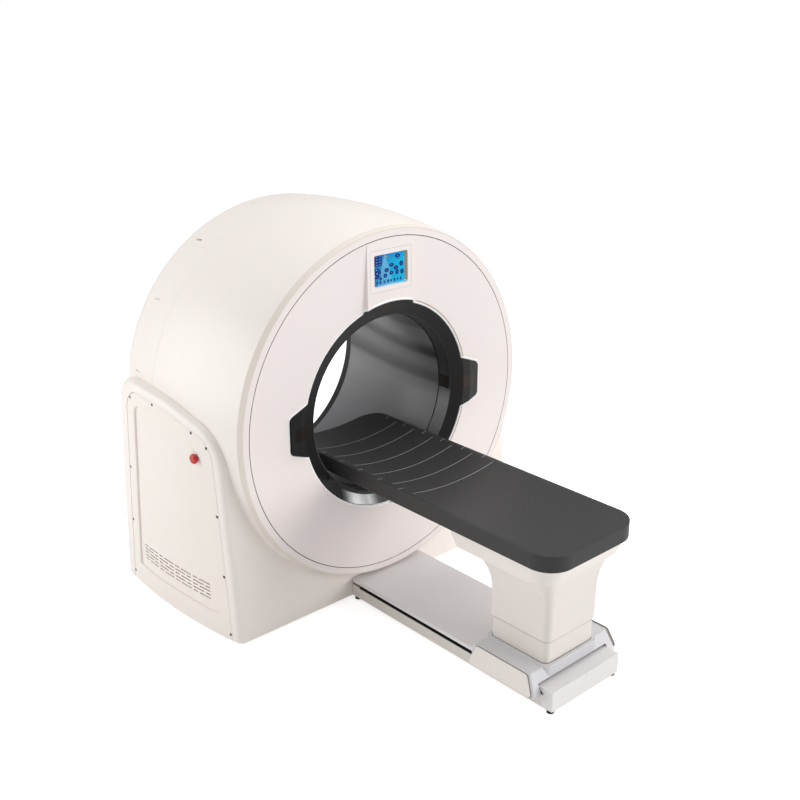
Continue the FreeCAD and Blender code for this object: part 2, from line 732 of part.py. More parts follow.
def stop_head():
    """Mushroom head on its stem."""
    lift = STOP_COLLAR_HEIGHT + STOP_STROKE + SEAM
    skirt = cylinder_z(STOP_HEAD_RADIUS, lift, lift + STOP_HEAD_HEIGHT)
    top_edges = [edge for edge in skirt.Edges if edge.BoundBox.ZMin > lift + 1]
    skirt = skirt.makeChamfer(STOP_HEAD_BEVEL, top_edges)
    stem_base = -STOP_STEM_LENGTH + STOP_STROKE + SEAM
    stem = cylinder_z(STOP_STEM_RADIUS, stem_base, lift + 1)
    return placed(skirt.fuse(stem).removeSplitter(), stop_placement(-1, FIELD_DEPTH))


# ---------------------------------------------------------------- front of the gantry

RIM_OUTER = barrel_radius(TRIM_DEPTH) - TRIM_SLOPE + 1.0
RIM_INNER = RIM_OUTER - RIM_WIDTH
COVER_RADIUS = RIM_INNER - GROOVE_WIDTH
BEVEL_OUTER = RING_RADIUS + SEAM + BEVEL_WIDTH
COLUMN_END_RADIUS = RING_RADIUS + COLUMN_END_GAP


def front_rim():
    """Flat face ring that carries the dished cover on a flange."""
    back = RIM_OUTER - TRIM_THICK + TRIM_SLOPE
    flange = COVER_THICK + SEAM
    return turned([
        (RIM_INNER, 0.0),
        (RIM_OUTER - TRIM_THICK - SEAM, 0.0),
        (back - SEAM, TRIM_DEPTH),
        (COVER_RADIUS - RIM_FLANGE, TRIM_DEPTH),
        (COVER_RADIUS - RIM_FLANGE, flange + 1.0),
        (RIM_INNER, flange + 1.0),
    ])


def rim_trim():
    """Crisp band that turns the corner from the face to the barrel."""
    return turned([
        (RIM_OUTER - TRIM_THICK, 0.0),
        (RIM_OUTER, 0.0),
        (RIM_OUTER + TRIM_SLOPE, TRIM_DEPTH),
        (RIM_OUTER + TRIM_SLOPE - TRIM_THICK, TRIM_DEPTH),
    ])


def dish_y(radius):
    """Station of the dished cover at a radius."""
    return DISH_DEPTH * (COVER_RADIUS - radius) / (COVER_RADIUS - BEVEL_OUTER)


def column_face_y(z):
    """Station of the flat column's face at a height above the axis."""
    share = (COVER_RADIUS - z) / (COVER_RADIUS - COLUMN_END_RADIUS)
    return -COLUMN_FADE - (COLUMN_PROUD - COLUMN_FADE) * share


def column_section(z, spread):
    """Cross section of the raised column at one height."""
    face = column_face_y(z)
    foot = dish_y(z) + DISH_DEPTH * 2
    drop = (dish_y(z) - face) / (dish_y(BEVEL_OUTER) - face)
    wide = COLUMN_HALF + spread * max(drop, 0.05)
    points = [V(-COLUMN_HALF, face, z), V(COLUMN_HALF, face, z), V(wide, foot, z), V(-wide, foot, z)]
    return Part.makePolygon(points + [points[0]])


def cover_block():
    """The dished disc and its column, thick towards the back."""
    thick = DISH_DEPTH * 4
    disc = turned([
        (COVER_RADIUS, 0.0),
        (COVER_RADIUS, thick),
        (RING_RADIUS + SEAM, thick),
        (RING_RADIUS + SEAM, DISH_DEPTH + BEVEL_DEPTH),
        (BEVEL_OUTER, DISH_DEPTH),
    ])
    low = column_section(RING_RADIUS * 0.9, COLUMN_SIDE_SLOPE * 3)
    high = column_section(COVER_RADIUS, COLUMN_SIDE_SLOPE)
    column = Part.makeLoft([low, high], True, True)
    column = column.cut(cylinder_y(COLUMN_END_RADIUS, -FULL, DISH_DEPTH + BEVEL_DEPTH))
    column = column.cut(cylinder_y(RING_RADIUS + SEAM, -FULL, FULL))
    column = column.common(cylinder_y(COVER_RADIUS, -FULL, FULL))
    return disc.fuse(column)


def ear_prism(grow):
    """Outline of the two ears of the bore ring, pushed through the cover."""
    ears = []
    for side in (-1, 1):
        points = [
            V(side * EAR_ROOT_X, -FULL / 8, EAR_ROOT_HALF + grow),
            V(side * (EAR_REACH + grow), -FULL / 8, EAR_TIP_HALF + grow),
            V(side * (EAR_REACH + grow), -FULL / 8, -EAR_TIP_HALF - grow),
            V(side * EAR_ROOT_X, -FULL / 8, -EAR_ROOT_HALF - grow),
        ]
        ears.append(prism(points, [0, EAR_CORNER + grow, EAR_CORNER + grow, 0], V(0, FULL / 4, 0)))
    return ears


def crown_block(grow):
    """Outline of the ring's crown, which fills up to the end of the raised column."""
    radius = COLUMN_END_RADIUS - SHADOW_GAP + grow
    half = COLUMN_HALF + grow
    bend_z = math.sqrt(radius ** 2 - half ** 2)
    foot = half + CROWN_SPLAY * bend_z
    points = [V(-half, -FULL, FULL), V(half, -FULL, FULL), V(half, -FULL, bend_z),
              V(foot, -FULL, 0), V(-foot, -FULL, 0), V(-half, -FULL, bend_z)]
    return cylinder_y(radius, -FULL / 8, FULL / 8).common(prism(points, [0] * 6, V(0, 2 * FULL, 0)))


def display_placement():
    """Frame of the display: on the column's sloping face, +Y into the gantry."""
    drop = column_face_y(COLUMN_END_RADIUS) - column_face_y(COVER_RADIUS)
    lean = math.degrees(math.atan2(-drop, COVER_RADIUS - COLUMN_END_RADIUS))
    return FreeCAD.Placement(V(0, column_face_y(DISPLAY_Z), DISPLAY_Z), FreeCAD.Rotation(X_AXIS, -lean))


def display_block(width, height, corner, y0, y1):
    """A rounded rectangular block in the display's own frame."""
    points = [V(-width / 2, y0, -height / 2), V(width / 2, y0, -height / 2),
              V(width / 2, y0, height / 2), V(-width / 2, y0, height / 2)]
    return prism(points, [corner] * 4, V(0, y1 - y0, 0))


def front_cover():
    """The dished front cover with its column, display opening and ear cut-outs."""
    block = cover_block()
    cover = block.cut(block.translated(V(0, COVER_THICK, 0)))
    for opening in ear_prism(EAR_GAP) + [crown_block(SEAM)]:
        cover = cover.cut(opening)
    grow = 2 * SEAM
    opening = display_block(DISPLAY_WIDTH + grow, DISPLAY_HEIGHT + grow, DISPLAY_CORNER + SEAM,
                            -BEZEL_BACK, BEZEL_BACK)
    return cover.cut(placed(opening, display_placement()))


def display_bezel():
    """Frame set into the column, with walls that sink to the screen."""
    frame = display_block(DISPLAY_WIDTH, DISPLAY_HEIGHT, DISPLAY_CORNER, 0, BEZEL_BACK)
    well = display_block(WINDOW_WIDTH, WINDOW_HEIGHT, DISPLAY_CORNER, -1, DISPLAY_DEPTH + 1)
    wall = COVER_THICK
    seat = display_block(WINDOW_WIDTH + wall, WINDOW_HEIGHT + wall, DISPLAY_CORNER,
                         DISPLAY_DEPTH, BEZEL_BACK + 1)
    return placed(frame.cut(well).cut(seat), display_placement())


def display_screen():
    """Flat screen at the back of the frame."""
    grow = COVER_THICK - 2 * SEAM
    screen = display_block(WINDOW_WIDTH + grow, WINDOW_HEIGHT + grow, DISPLAY_CORNER - SEAM,
                           DISPLAY_DEPTH + SEAM, DISPLAY_DEPTH + SEAM + SCREEN_THICK)
    return placed(screen, display_placement())


# ---------------------------------------------------------------- bore

def ring_block():
    """Front ring of the bore and its two ears, before its inlays."""
    whole = turned([
        (RING_LIP_RADIUS, RING_LIP_Y),
        (RING_FLAT_RADIUS, 0.0),
        (EAR_REACH + RING_THICK, 0.0),
        (EAR_REACH + RING_THICK, RING_THICK),
        (RING_FLAT_RADIUS, RING_THICK),
        (RING_LIP_RADIUS + RING_THICK, RING_LIP_Y + RING_THICK / 2),
        (RING_LIP_RADIUS, RING_LIP_Y + RING_THICK / 2),
    ])
    clip = fuse_all([cylinder_y(RING_RADIUS, -FULL / 8, FULL / 8), crown_block(0)] + ear_prism(0))
    return whole.common(clip)


def laser_boxes(grow):
    """Outlines of the three laser windows."""
    side = box(LASER_IN - grow, LASER_OUT + grow, -FULL, FULL, -LASER_HALF - grow, LASER_HALF + grow)
    top = box(-LASER_TOP_HALF - grow, LASER_TOP_HALF + grow, -FULL, FULL,
              LASER_TOP_IN - grow, COLUMN_END_RADIUS + grow)
    return [side, mirrored(side), top]


def trim_arc_block(grow):
    """Sector over the bottom of the ring where the polished trim lies."""
    angle = TRIM_ARC_HALF + math.degrees(grow / RING_RADIUS)
    reach = 2 * RING_RADIUS
    across = reach * math.sin(math.radians(angle))
    drop = -reach * math.cos(math.radians(angle))
    points = [V(0, -FULL / 8, 0), V(across, -FULL / 8, drop), V(0, -FULL / 8, -2 * reach),
              V(-across, -FULL / 8, drop)]
    sector = prism(points, [0] * 4, V(0, FULL / 4, 0))
    return sector.cut(cylinder_y(TRIM_ARC_IN - grow, -FULL, FULL))


def bore_front_ring():
    """Smoked ring and ears, with pockets for the windows and the lower trim."""
    ring = ring_block()
    deep = ring.translated(V(0, LASER_THICK + SEAM, 0))
    for window in laser_boxes(SEAM):
        ring = ring.cut(window.common(ring).cut(deep))
    sunk = ring_block().translated(V(0, TRIM_ARC_THICK + SEAM, 0))
    return ring.cut(trim_arc_block(SEAM).common(ring_block()).cut(sunk))


def laser_windows():
    """Three thin windows flush with the ring."""
    ring = ring_block()
    deep = ring.translated(V(0, LASER_THICK, 0))
    return Part.makeCompound([window.common(ring).cut(deep) for window in laser_boxes(0)])


def bore_lower_trim():
    """Polished band inlaid over the bottom of the ring."""
    ring = ring_block()
    deep = ring.translated(V(0, TRIM_ARC_THICK, 0))
    return trim_arc_block(0).common(ring).cut(deep)


def bore_band():
    """Dark band just inside the ring."""
    step = RING_LIP_Y + RING_THICK / 2 + SEAM
    return turned([
        (BAND_RADIUS, RING_LIP_Y + SEAM),
        (RING_LIP_RADIUS - SEAM, RING_LIP_Y + SEAM),
        (RING_LIP_RADIUS - SEAM, step),
        (BAND_RADIUS + BAND_WALL, step),
        (BAND_RADIUS + BAND_WALL, BAND_END_Y),
        (BAND_RADIUS, BAND_END_Y),
    ])


def bore_liner():
    """Tunnel through the gantry, straight at first and then flared."""
    start = BAND_END_Y + SEAM
    end = GANTRY_DEPTH - FLARE_END_GAP
    return turned([
        (BORE_RADIUS, start),
        (BORE_RADIUS, FLARE_START_Y),
        (FLARE_RADIUS, end),
        (FLARE_RADIUS + LINER_WALL, end),
        (BORE_RADIUS + LINER_WALL, FLARE_START_Y),
        (BORE_RADIUS + LINER_WALL, start),
    ], [0, FLARE_BEND, 0, 0, FLARE_BEND - LINER_WALL, 0])


def rear_bore_ring():
    """Rear lip of the bore."""
    start = GANTRY_DEPTH - FLARE_END_GAP + SEAM
    return turned([
        (FLARE_RADIUS, start),
        (REAR_RING_RADIUS, GANTRY_DEPTH),
        (REAR_RING_RADIUS + REAR_RING_WIDTH, GANTRY_DEPTH),
        (REAR_RING_RADIUS + REAR_RING_WIDTH, GANTRY_DEPTH - 2 * SHELL_WALL),
        (FLARE_RADIUS + REAR_RING_WIDTH, start),
    ])


def rear_cover():
    """Flat ring that closes the rear of the drum."""
    mouth = rear_opening_radius() - SHADOW_GAP
    return tube_y(mouth, REAR_RING_RADIUS + REAR_RING_WIDTH + SEAM, GANTRY_DEPTH - SHELL_WALL, GANTRY_DEPTH)


# ---------------------------------------------------------------- mechanism inside the gantry

PLATE_BACK_Y = ROTOR_PLATE_Y + ROTOR_PLATE_THICK
CARRIER_Y = PLATE_BACK_Y + RACE_DEPTH + RACE_STEP
FRAME_Z0 = SOLE_Z + BASE_FLANGE_THICK + SEAM
FRAME_Z1 = FRAME_Z0 + FRAME_HEIGHT
BELT_Y = ROTOR_PLATE_Y + (PULLEY_RIM_DEPTH - PULLEY_WIDTH) / 2


def base_frame():
    """Welded floor frame with the two uprights that carry the bearing."""
    rear = GANTRY_DEPTH - FRAME_REAR_INSET
    upright_back = CARRIER_Y - SEAM
    parts = [
        box(-FRAME_HALF, FRAME_HALF, FRAME_FRONT_Y, FRAME_FRONT_Y + FRAME_BEAM, FRAME_Z0, FRAME_Z1),
        box(-FRAME_HALF, FRAME_HALF, rear - FRAME_BEAM, rear, FRAME_Z0, FRAME_Z1),
        box(-UPRIGHT_OUT, UPRIGHT_OUT, upright_back - UPRIGHT_DEPTH, upright_back, FRAME_Z0, FRAME_Z1),
    ]
    for side in (-1, 1):
        x0, x1 = sorted((side * (FRAME_HALF - FRAME_BEAM), side * FRAME_HALF))
        parts.append(box(x0, x1, FRAME_FRONT_Y, rear, FRAME_Z0, FRAME_Z1))
        x0, x1 = sorted((side * UPRIGHT_IN, side * UPRIGHT_OUT))
        parts.append(box(x0, x1, upright_back - UPRIGHT_DEPTH, upright_back, FRAME_Z0, UPRIGHT_TOP))
    return fuse_all(parts)


def bearing_carrier():
    """Ring that holds the main bearing, with an ear to each upright."""
    ring = cylinder_y(CARRIER_RADIUS, CARRIER_Y, CARRIER_Y + CARRIER_THICK)
    half = min(CARRIER_EAR_HALF, UPRIGHT_TOP)
    ears = box(-UPRIGHT_OUT, UPRIGHT_OUT, CARRIER_Y, CARRIER_Y + CARRIER_THICK, -CARRIER_EAR_HALF, half)
    carrier = ring.fuse(ears)
    return carrier.cut(cylinder_y(CARRIER_EYE, 0, FULL)).removeSplitter()


def bearing_outer():
    """Fixed race of the main bearing."""
    return tube_y(RACE_RADIUS + RACE_WIDTH, RACE_RADIUS + RUN_GAP / 2, PLATE_BACK_Y + RACE_STEP,
                  CARRIER_Y - SEAM)


def bearing_inner():
    """Turning race of the main bearing."""
    return tube_y(RACE_RADIUS - RUN_GAP / 2, RACE_RADIUS - RACE_WIDTH, PLATE_BACK_Y + SEAM,
                  PLATE_BACK_Y + RACE_DEPTH)


def rotor_frame():
    """Turning plate with lightening holes and a belt rim."""
    plate = tube_y(ROTOR_RADIUS, ROTOR_EYE, ROTOR_PLATE_Y, PLATE_BACK_Y)
    rim = tube_y(ROTOR_RADIUS, ROTOR_RADIUS - PULLEY_RIM_WIDTH, ROTOR_PLATE_Y,
                 ROTOR_PLATE_Y + PULLEY_RIM_DEPTH)
    frame = plate.fuse(rim).removeSplitter()
    holes = []
    for index in range(SPOKE_HOLES):
        angle = 2 * math.pi * (index + 0.5) / SPOKE_HOLES
        holes.append(cylinder_y(SPOKE_HOLE_RADIUS / 2, 0, FULL, SPOKE_HOLE_CIRCLE * math.cos(angle),
                                SPOKE_HOLE_CIRCLE * math.sin(angle)))
    return cut_all(frame, holes)


def slip_ring():
    """Grooved contact ring behind the bearing."""
    start = PLATE_BACK_Y + RACE_DEPTH + SEAM
    ring = tube_y(SLIP_OUTER, SLIP_INNER, start, start + SLIP_DEPTH)
    flange = tube_y(RACE_RADIUS - RACE_WIDTH / 2, SLIP_INNER, start, start + RACE_STEP / 2)
    ring = ring.fuse(flange).removeSplitter()
    pitch = (SLIP_DEPTH - RACE_STEP) / SLIP_GROOVES
    for index in range(SLIP_GROOVES):
        y = start + RACE_STEP + pitch * (index + 0.5)
        groove = tube_y(SLIP_OUTER + 1, SLIP_OUTER - SLIP_GROOVE_DEPTH, y - SLIP_GROOVE_WIDTH / 2,
                        y + SLIP_GROOVE_WIDTH / 2)
        ring = ring.cut(groove)
    return ring


def brush_block():
    """Brush holder on the bearing carrier, riding on the slip ring."""
    y0 = CARRIER_Y + CARRIER_THICK + SEAM
    block = box(-BRUSH_HALF, BRUSH_HALF, y0, y0 + BRUSH_DEPTH, 0, CARRIER_EYE + BRUSH_HALF)
    block = block.cut(cylinder_y(SLIP_OUTER + RUN_GAP, 0, FULL))
    return block


def xray_tube():
    """Tube housing across the scan plane, capped at both ends."""
    back = ROTOR_PLATE_Y - SEAM
    z = FOCUS_HEIGHT
    body = cylinder_y(TUBE_RADIUS, back - TUBE_LENGTH, back - TUBE_CAP_LENGTH, 0, z)
    caps = cylinder_y(TUBE_CAP_RADIUS, back - TUBE_LENGTH - TUBE_CAP_LENGTH, back, 0, z)
    return body.fuse(caps).removeSplitter()


def collimator():
    """Tapered beam limiter between the tube and the bore."""
    top = FOCUS_HEIGHT - TUBE_RADIUS - SEAM
    back = ROTOR_PLATE_Y - SEAM
    y0 = 2 * SCAN_PLANE_Y - back
    wide = [V(-COLLIMATOR_HALF, y0, top - COLLIMATOR_HEIGHT), V(COLLIMATOR_HALF, y0, top - COLLIMATOR_HEIGHT),
            V(COLLIMATOR_SHORT, y0, top), V(-COLLIMATOR_SHORT, y0, top)]
    return prism(wide, [0] * 4, V(0, back - y0, 0))


def detector_arc():
    """Detector housing, curved about the x-ray focus."""
    y0 = SCAN_PLANE_Y - DETECTOR_DEPTH / 2
    y1 = ROTOR_PLATE_Y - SEAM
    outer = cylinder_y(DETECTOR_DISTANCE + DETECTOR_THICK, y0, y1, 0, FOCUS_HEIGHT)
    inner = cylinder_y(DETECTOR_DISTANCE, y0, y1, 0, FOCUS_HEIGHT)
    reach = FULL
    half = math.radians(DETECTOR_HALF_ANGLE)
    points = [V(0, y0, FOCUS_HEIGHT), V(reach * math.sin(half), y0, FOCUS_HEIGHT - reach * math.cos(half)),
              V(-reach * math.sin(half), y0, FOCUS_HEIGHT - reach * math.cos(half))]
    wedge = prism(points, [0] * 3, V(0, y1 - y0, 0))
    return outer.cut(inner).common(wedge)


def high_voltage_tank():
    """Generator tank at one side of the rotor."""
    y1 = ROTOR_PLATE_Y - SEAM
    points = [V(SIDE_PACK_RADIUS, y1, -TANK_HALF), V(SIDE_PACK_RADIUS + TANK_RADIAL, y1, -TANK_HALF),
              V(SIDE_PACK_RADIUS + TANK_RADIAL, y1, TANK_HALF), V(SIDE_PACK_RADIUS, y1, TANK_HALF)]
    return prism(points, [CABINET_CORNER] * 4, V(0, -TANK_DEPTH, 0))


def balance_arc(sizes, middle):
    """Cast arc bolted to the rotor plate, about an angle from +X towards +Z."""
    inner, outer, half_angle, depth = sizes
    y1 = ROTOR_PLATE_Y - SEAM
    corners = [V(0, y1 - depth, 0)]
    for angle in (middle - half_angle, middle + half_angle):
        way = math.radians(angle)
        corners.append(V(FULL * math.cos(way), y1 - depth, FULL * math.sin(way)))
    return tube_y(outer, inner, y1 - depth, y1).common(prism(corners, [0] * 3, V(0, depth, 0)))


def counterweight():
    """Two arcs that balance the tank and the x-ray tube."""
    return Part.makeCompound([balance_arc(SIDE_WEIGHT, 180), balance_arc(LOW_WEIGHT, 270)])


def drive_motor():
    """Belt motor on its foot."""
    y0 = BELT_Y + PULLEY_WIDTH + FREE_GAP
    body = cylinder_y(MOTOR_RADIUS, y0, y0 + MOTOR_LENGTH, MOTOR_X, MOTOR_Z)
    foot = box(MOTOR_X - MOTOR_FOOT_HALF, MOTOR_X + MOTOR_FOOT_HALF, y0, y0 + MOTOR_LENGTH,
               FRAME_Z1 + SEAM, MOTOR_Z)
    bore = cylinder_y(SHAFT_RADIUS + SHAFT_GAP, y0 - 1, y0 + SHAFT_ENGAGE + 1, MOTOR_X, MOTOR_Z)
    return body.fuse(foot).removeSplitter().cut(bore)


def motor_pulley():
    """Small pulley with its shaft."""
    pulley = cylinder_y(PULLEY_RADIUS, BELT_Y, BELT_Y + PULLEY_WIDTH, MOTOR_X, MOTOR_Z)
    shaft = cylinder_y(SHAFT_RADIUS, BELT_Y, BELT_Y + PULLEY_WIDTH + FREE_GAP + SHAFT_ENGAGE,
                       MOTOR_X, MOTOR_Z)
    return pulley.fuse(shaft).removeSplitter()


def belt_loop(grow, y0, y1):
    """Block inside a belt line round both pulleys."""
    large = ROTOR_RADIUS + grow
    small = PULLEY_RADIUS + grow
    span = math.hypot(MOTOR_X, MOTOR_Z)
    lean = math.acos((large - small) / span)
    along = math.atan2(MOTOR_Z, MOTOR_X)
    first = along + lean
    second = along - lean
    far = along + math.pi
    centre = V(MOTOR_X, y0, MOTOR_Z)

    def around(angle, radius, base):
        return base + V(radius * math.cos(angle), 0, radius * math.sin(angle))

    origin = V(0, y0, 0)
    edges = [
        Part.Arc(around(first, large, origin), around(far, large, origin),
                 around(second, large, origin)).toShape(),
        Part.LineSegment(around(second, large, origin), around(second, small, centre)).toShape(),
        Part.Arc(around(second, small, centre), around(along, small, centre),
                 around(first, small, centre)).toShape(),
        Part.LineSegment(around(first, small, centre), around(first, large, origin)).toShape(),
    ]
    return Part.Face(Part.Wire(edges)).extrude(V(0, y1 - y0, 0))


def drive_belt():
    """Flat belt round the rotor's rim and the motor pulley."""
    y0 = BELT_Y + SEAM
    y1 = BELT_Y + PULLEY_WIDTH - SEAM
    return belt_loop(RUN_GAP + BELT_THICK, y0, y1).cut(belt_loop(RUN_GAP, y0, y1))


def cabinet(side):
    """Closed unit on the floor frame, beside the rotor."""
    x0, x1 = sorted((side * CABINET_IN, side * CABINET_OUT))
    z0 = FRAME_Z1 + SEAM
    points = [V(x0, CABINET_FRONT_Y, z0), V(x1, CABINET_FRONT_Y, z0),
              V(x1, CABINET_BACK_Y, z0), V(x0, CABINET_BACK_Y, z0)]
    return prism(points, [CABINET_CORNER] * 4, V(0, 0, CABINET_HEIGHT))


def gantry_feet():
    """Four levelling feet under the floor frame."""
    feet = []
    rear = GANTRY_DEPTH - FRAME_REAR_INSET
    for x in (-FOOT_X, FOOT_X):
        for y in (FRAME_FRONT_Y + FOOT_INSET, rear - FOOT_INSET):
            feet.append(cylinder_z(FOOT_RADIUS, -AXIS_HEIGHT, FRAME_Z0 - SEAM, x, y))
    return Part.makeCompound(feet)


# ---------------------------------------------------------------- table rail

RAIL_TOP_Z = -(RIM_OUTER + TRIM_SLOPE + RAIL_DRUM_GAP)
END_BLOCK_Y = -TABLE_REACH + END_BLOCK_INSET
RAIL_START_Y = END_BLOCK_Y + END_BLOCK_LENGTH + SEAM
RAIL_END_Y = TOE_Y - SEAM
SLOT_TOP_Z = RAIL_TOP_Z - RAIL_COVER_LIP
SLOT_Z = SLOT_TOP_Z - RAIL_SLOT
SLOT_MID_Z = (SLOT_TOP_Z + SLOT_Z) / 2
GUIDE_TOP_Z = SOLE_Z + RAIL_WALL + GUIDE_HEIGHT


def rail_body():
    """Floor channel with a middle ridge under the cover."""
    under = RAIL_TOP_Z - RAIL_COVER_THICK - SEAM
    floor = SOLE_Z + RAIL_WALL
    wall = RAIL_HALF - RAIL_WALL
    points = [
        (-RAIL_HALF, SOLE_Z), (RAIL_HALF, SOLE_Z), (RAIL_HALF, SLOT_Z), (wall, SLOT_Z), (wall, floor),
        (RAIL_RIDGE_HALF, floor), (RAIL_RIDGE_HALF, under), (-RAIL_RIDGE_HALF, under),
        (-RAIL_RIDGE_HALF, floor), (-wall, floor), (-wall, SLOT_Z), (-RAIL_HALF, SLOT_Z),
    ]
    corners = [V(x, RAIL_START_Y, z) for x, z in points]
    return prism(corners, [0] * len(corners), V(0, RAIL_END_Y - RAIL_START_Y, 0))


def rail_top_cover():
    """Folded cover whose lips hang over the side slots."""
    under = RAIL_TOP_Z - RAIL_COVER_THICK
    wall = RAIL_HALF - RAIL_COVER_THICK
    points = [
        (-RAIL_HALF, SLOT_TOP_Z), (-wall, SLOT_TOP_Z), (-wall, under), (wall, under),
        (wall, SLOT_TOP_Z), (RAIL_HALF, SLOT_TOP_Z), (RAIL_HALF, RAIL_TOP_Z), (-RAIL_HALF, RAIL_TOP_Z),
    ]
    corners = [V(x, RAIL_START_Y, z) for x, z in points]
    bend = RAIL_COVER_THICK * 0.8
    radii = [0, 0, 0, 0, 0, 0, bend, bend]
    return prism(corners, radii, V(0, RAIL_END_Y - RAIL_START_Y, 0))


def guide_rails():
    """Two guide bars on the floor of the channel."""
    floor = SOLE_Z + RAIL_WALL + SEAM
    bar = box(GUIDE_X - GUIDE_HALF, GUIDE_X + GUIDE_HALF, RAIL_START_Y + FREE_GAP,
              RAIL_END_Y - FREE_GAP, floor, GUIDE_TOP_Z)
    return Part.makeCompound([bar, mirrored(bar)])


def end_block():
    """Block that closes the outer end of the rail."""
    top = RAIL_TOP_Z + END_BLOCK_RISE
    block = box(-RAIL_HALF, RAIL_HALF, END_BLOCK_Y, END_BLOCK_Y + END_BLOCK_LENGTH, SOLE_Z, top)
    edges = [edge for edge in block.Edges if edge.CenterOfMass.z > SOLE_Z + 1]
    block = block.makeFillet(RAIL_COVER_THICK / 2, edges)
    back = END_BLOCK_Y + END_BLOCK_LENGTH
    slot = box(RAIL_HALF - RAIL_WALL, FULL, back - END_SLOT_LENGTH, FULL, SLOT_Z, SLOT_TOP_Z)
    hole = cylinder_y(END_HOLE_RADIUS, -FULL, END_BLOCK_Y + END_HOLE_DEPTH, 0, top - END_HOLE_DROP)
    return cut_all(block, [slot, mirrored(slot), hole])


def rail_feet():
    """Feet under the end block and beside the gantry."""
    feet = []
    for x in (-RAIL_FOOT_X, RAIL_FOOT_X):
        for y in (END_BLOCK_Y + RAIL_FOOT_INSET, RAIL_END_Y - RAIL_FOOT_INSET):
            feet.append(cylinder_z(RAIL_FOOT_RADIUS, -AXIS_HEIGHT, SOLE_Z - SEAM, x, y))
    return Part.makeCompound(feet)


# ---------------------------------------------------------------- carriage

SADDLE_Y0 = -TABLE_REACH + SADDLE_OUTER_INSET
SADDLE_Y1 = SADDLE_Y0 + SADDLE_LENGTH
SADDLE_TOP_Z = RAIL_TOP_Z + SADDLE_RISE
SADDLE_FOOT_Z = RAIL_TOP_Z - SADDLE_DROP
COLUMN_Y0 = -TABLE_REACH + COLUMN_OUTER_INSET
COLUMN_Y1 = COLUMN_Y0 + LOWER_LENGTH
COLUMN_MID_Y = (COLUMN_Y0 + COLUMN_Y1) / 2
TRAY_TOP_Z = TABLETOP_Z - TABLETOP_THICK - SEAM
TRAY_FLOOR_Z = TRAY_TOP_Z - TRAY_DEPTH
GUIDE_STATIONS = (SADDLE_Y0 + BLOCK_LENGTH, SADDLE_Y1 - BLOCK_LENGTH)


def saddle_rise_x(z):
    """Half width of the saddle's sloping side at a height."""
    share = (SADDLE_TOP_Z - z) / (SADDLE_TOP_Z - SADDLE_FOOT_Z)
    return SADDLE_TOP_HALF + (SADDLE_FOOT_HALF - SADDLE_TOP_HALF) * share


def saddle_block():
    """Sloping body that straddles the rail, with rounded corners and soft top edges."""
    wires = []
    for z, y0 in ((SADDLE_FOOT_Z, SADDLE_Y0), (SADDLE_TOP_Z, SADDLE_Y0 + SADDLE_OUT_SLOPE)):
        half = saddle_rise_x(z)
        points = [V(-half, y0, z), V(half, y0, z), V(half, SADDLE_Y1, z), V(-half, SADDLE_Y1, z)]
        wires.append(Part.makePolygon(points + [points[0]]))
    block = Part.makeLoft(wires, True, True)
    uprights = []
    for edge in block.Edges:
        zone = edge.BoundBox
        if zone.ZLength > SADDLE_CORNER and zone.YMax < SADDLE_Y1 - 1:
            uprights.append(edge)
    block = block.makeFillet(SADDLE_CORNER, uprights)
    return block.makeFillet(SADDLE_EDGE, [edge for edge in block.Edges if edge.BoundBox.ZMin > SADDLE_TOP_Z - 1])


def plate_outline(x):
    """Corners of a saddle side plate in a YZ plane."""
    low = SADDLE_FOOT_Z + PLATE_MARGIN
    top = SADDLE_TOP_Z + PLATE_LIP
    front = SADDLE_Y0 + PLATE_MARGIN
    return [V(x, front, low), V(x, front + SADDLE_OUT_SLOPE, top),
            V(x, SADDLE_Y1 - PLATE_REAR_INSET, top), V(x, SADDLE_Y1 + PLATE_REAR_REACH, low)]


def carriage_saddle():
    """Saddle with its channel over the rail, guide tongues and the column's pedestal and socket."""
    roof = RAIL_TOP_Z + CHANNEL_GAP
    channel = box(-RAIL_HALF - FREE_GAP, RAIL_HALF + FREE_GAP, -FULL, FULL, -FULL, roof)
    length = TONGUE_LENGTH / 2
    middle = (SADDLE_Y0 + SADDLE_Y1) / 2
    tongue = box(GUIDE_X - GUIDE_HALF - BLOCK_WALL, RAIL_HALF + FREE_GAP * 2, middle - length,
                 middle + length, SLOT_MID_Z - TONGUE_THICK / 2, SLOT_MID_Z + TONGUE_THICK / 2)
    pedestal = column_block(LOWER_HALF_X + PEDESTAL_MARGIN, COLUMN_Y0 - PEDESTAL_MARGIN,
                            COLUMN_Y1 + PEDESTAL_MARGIN, LOWER_CORNER + PEDESTAL_MARGIN / 2,
                            roof, SADDLE_TOP_Z + PEDESTAL_RISE)
    rim = [edge for edge in pedestal.Edges if edge.BoundBox.ZMin > SADDLE_TOP_Z]
    pedestal = pedestal.makeFillet(PEDESTAL_EDGE, rim)
    saddle = fuse_all([saddle_block().cut(channel), tongue, mirrored(tongue), pedestal])
    socket = column_block(LOWER_HALF_X + SHADOW_GAP, COLUMN_Y0 - SHADOW_GAP, COLUMN_Y1 + SHADOW_GAP,
                          LOWER_CORNER + SHADOW_GAP, SADDLE_TOP_Z - SADDLE_WALL, SADDLE_TOP_Z + FULL)
    return saddle.cut(socket)


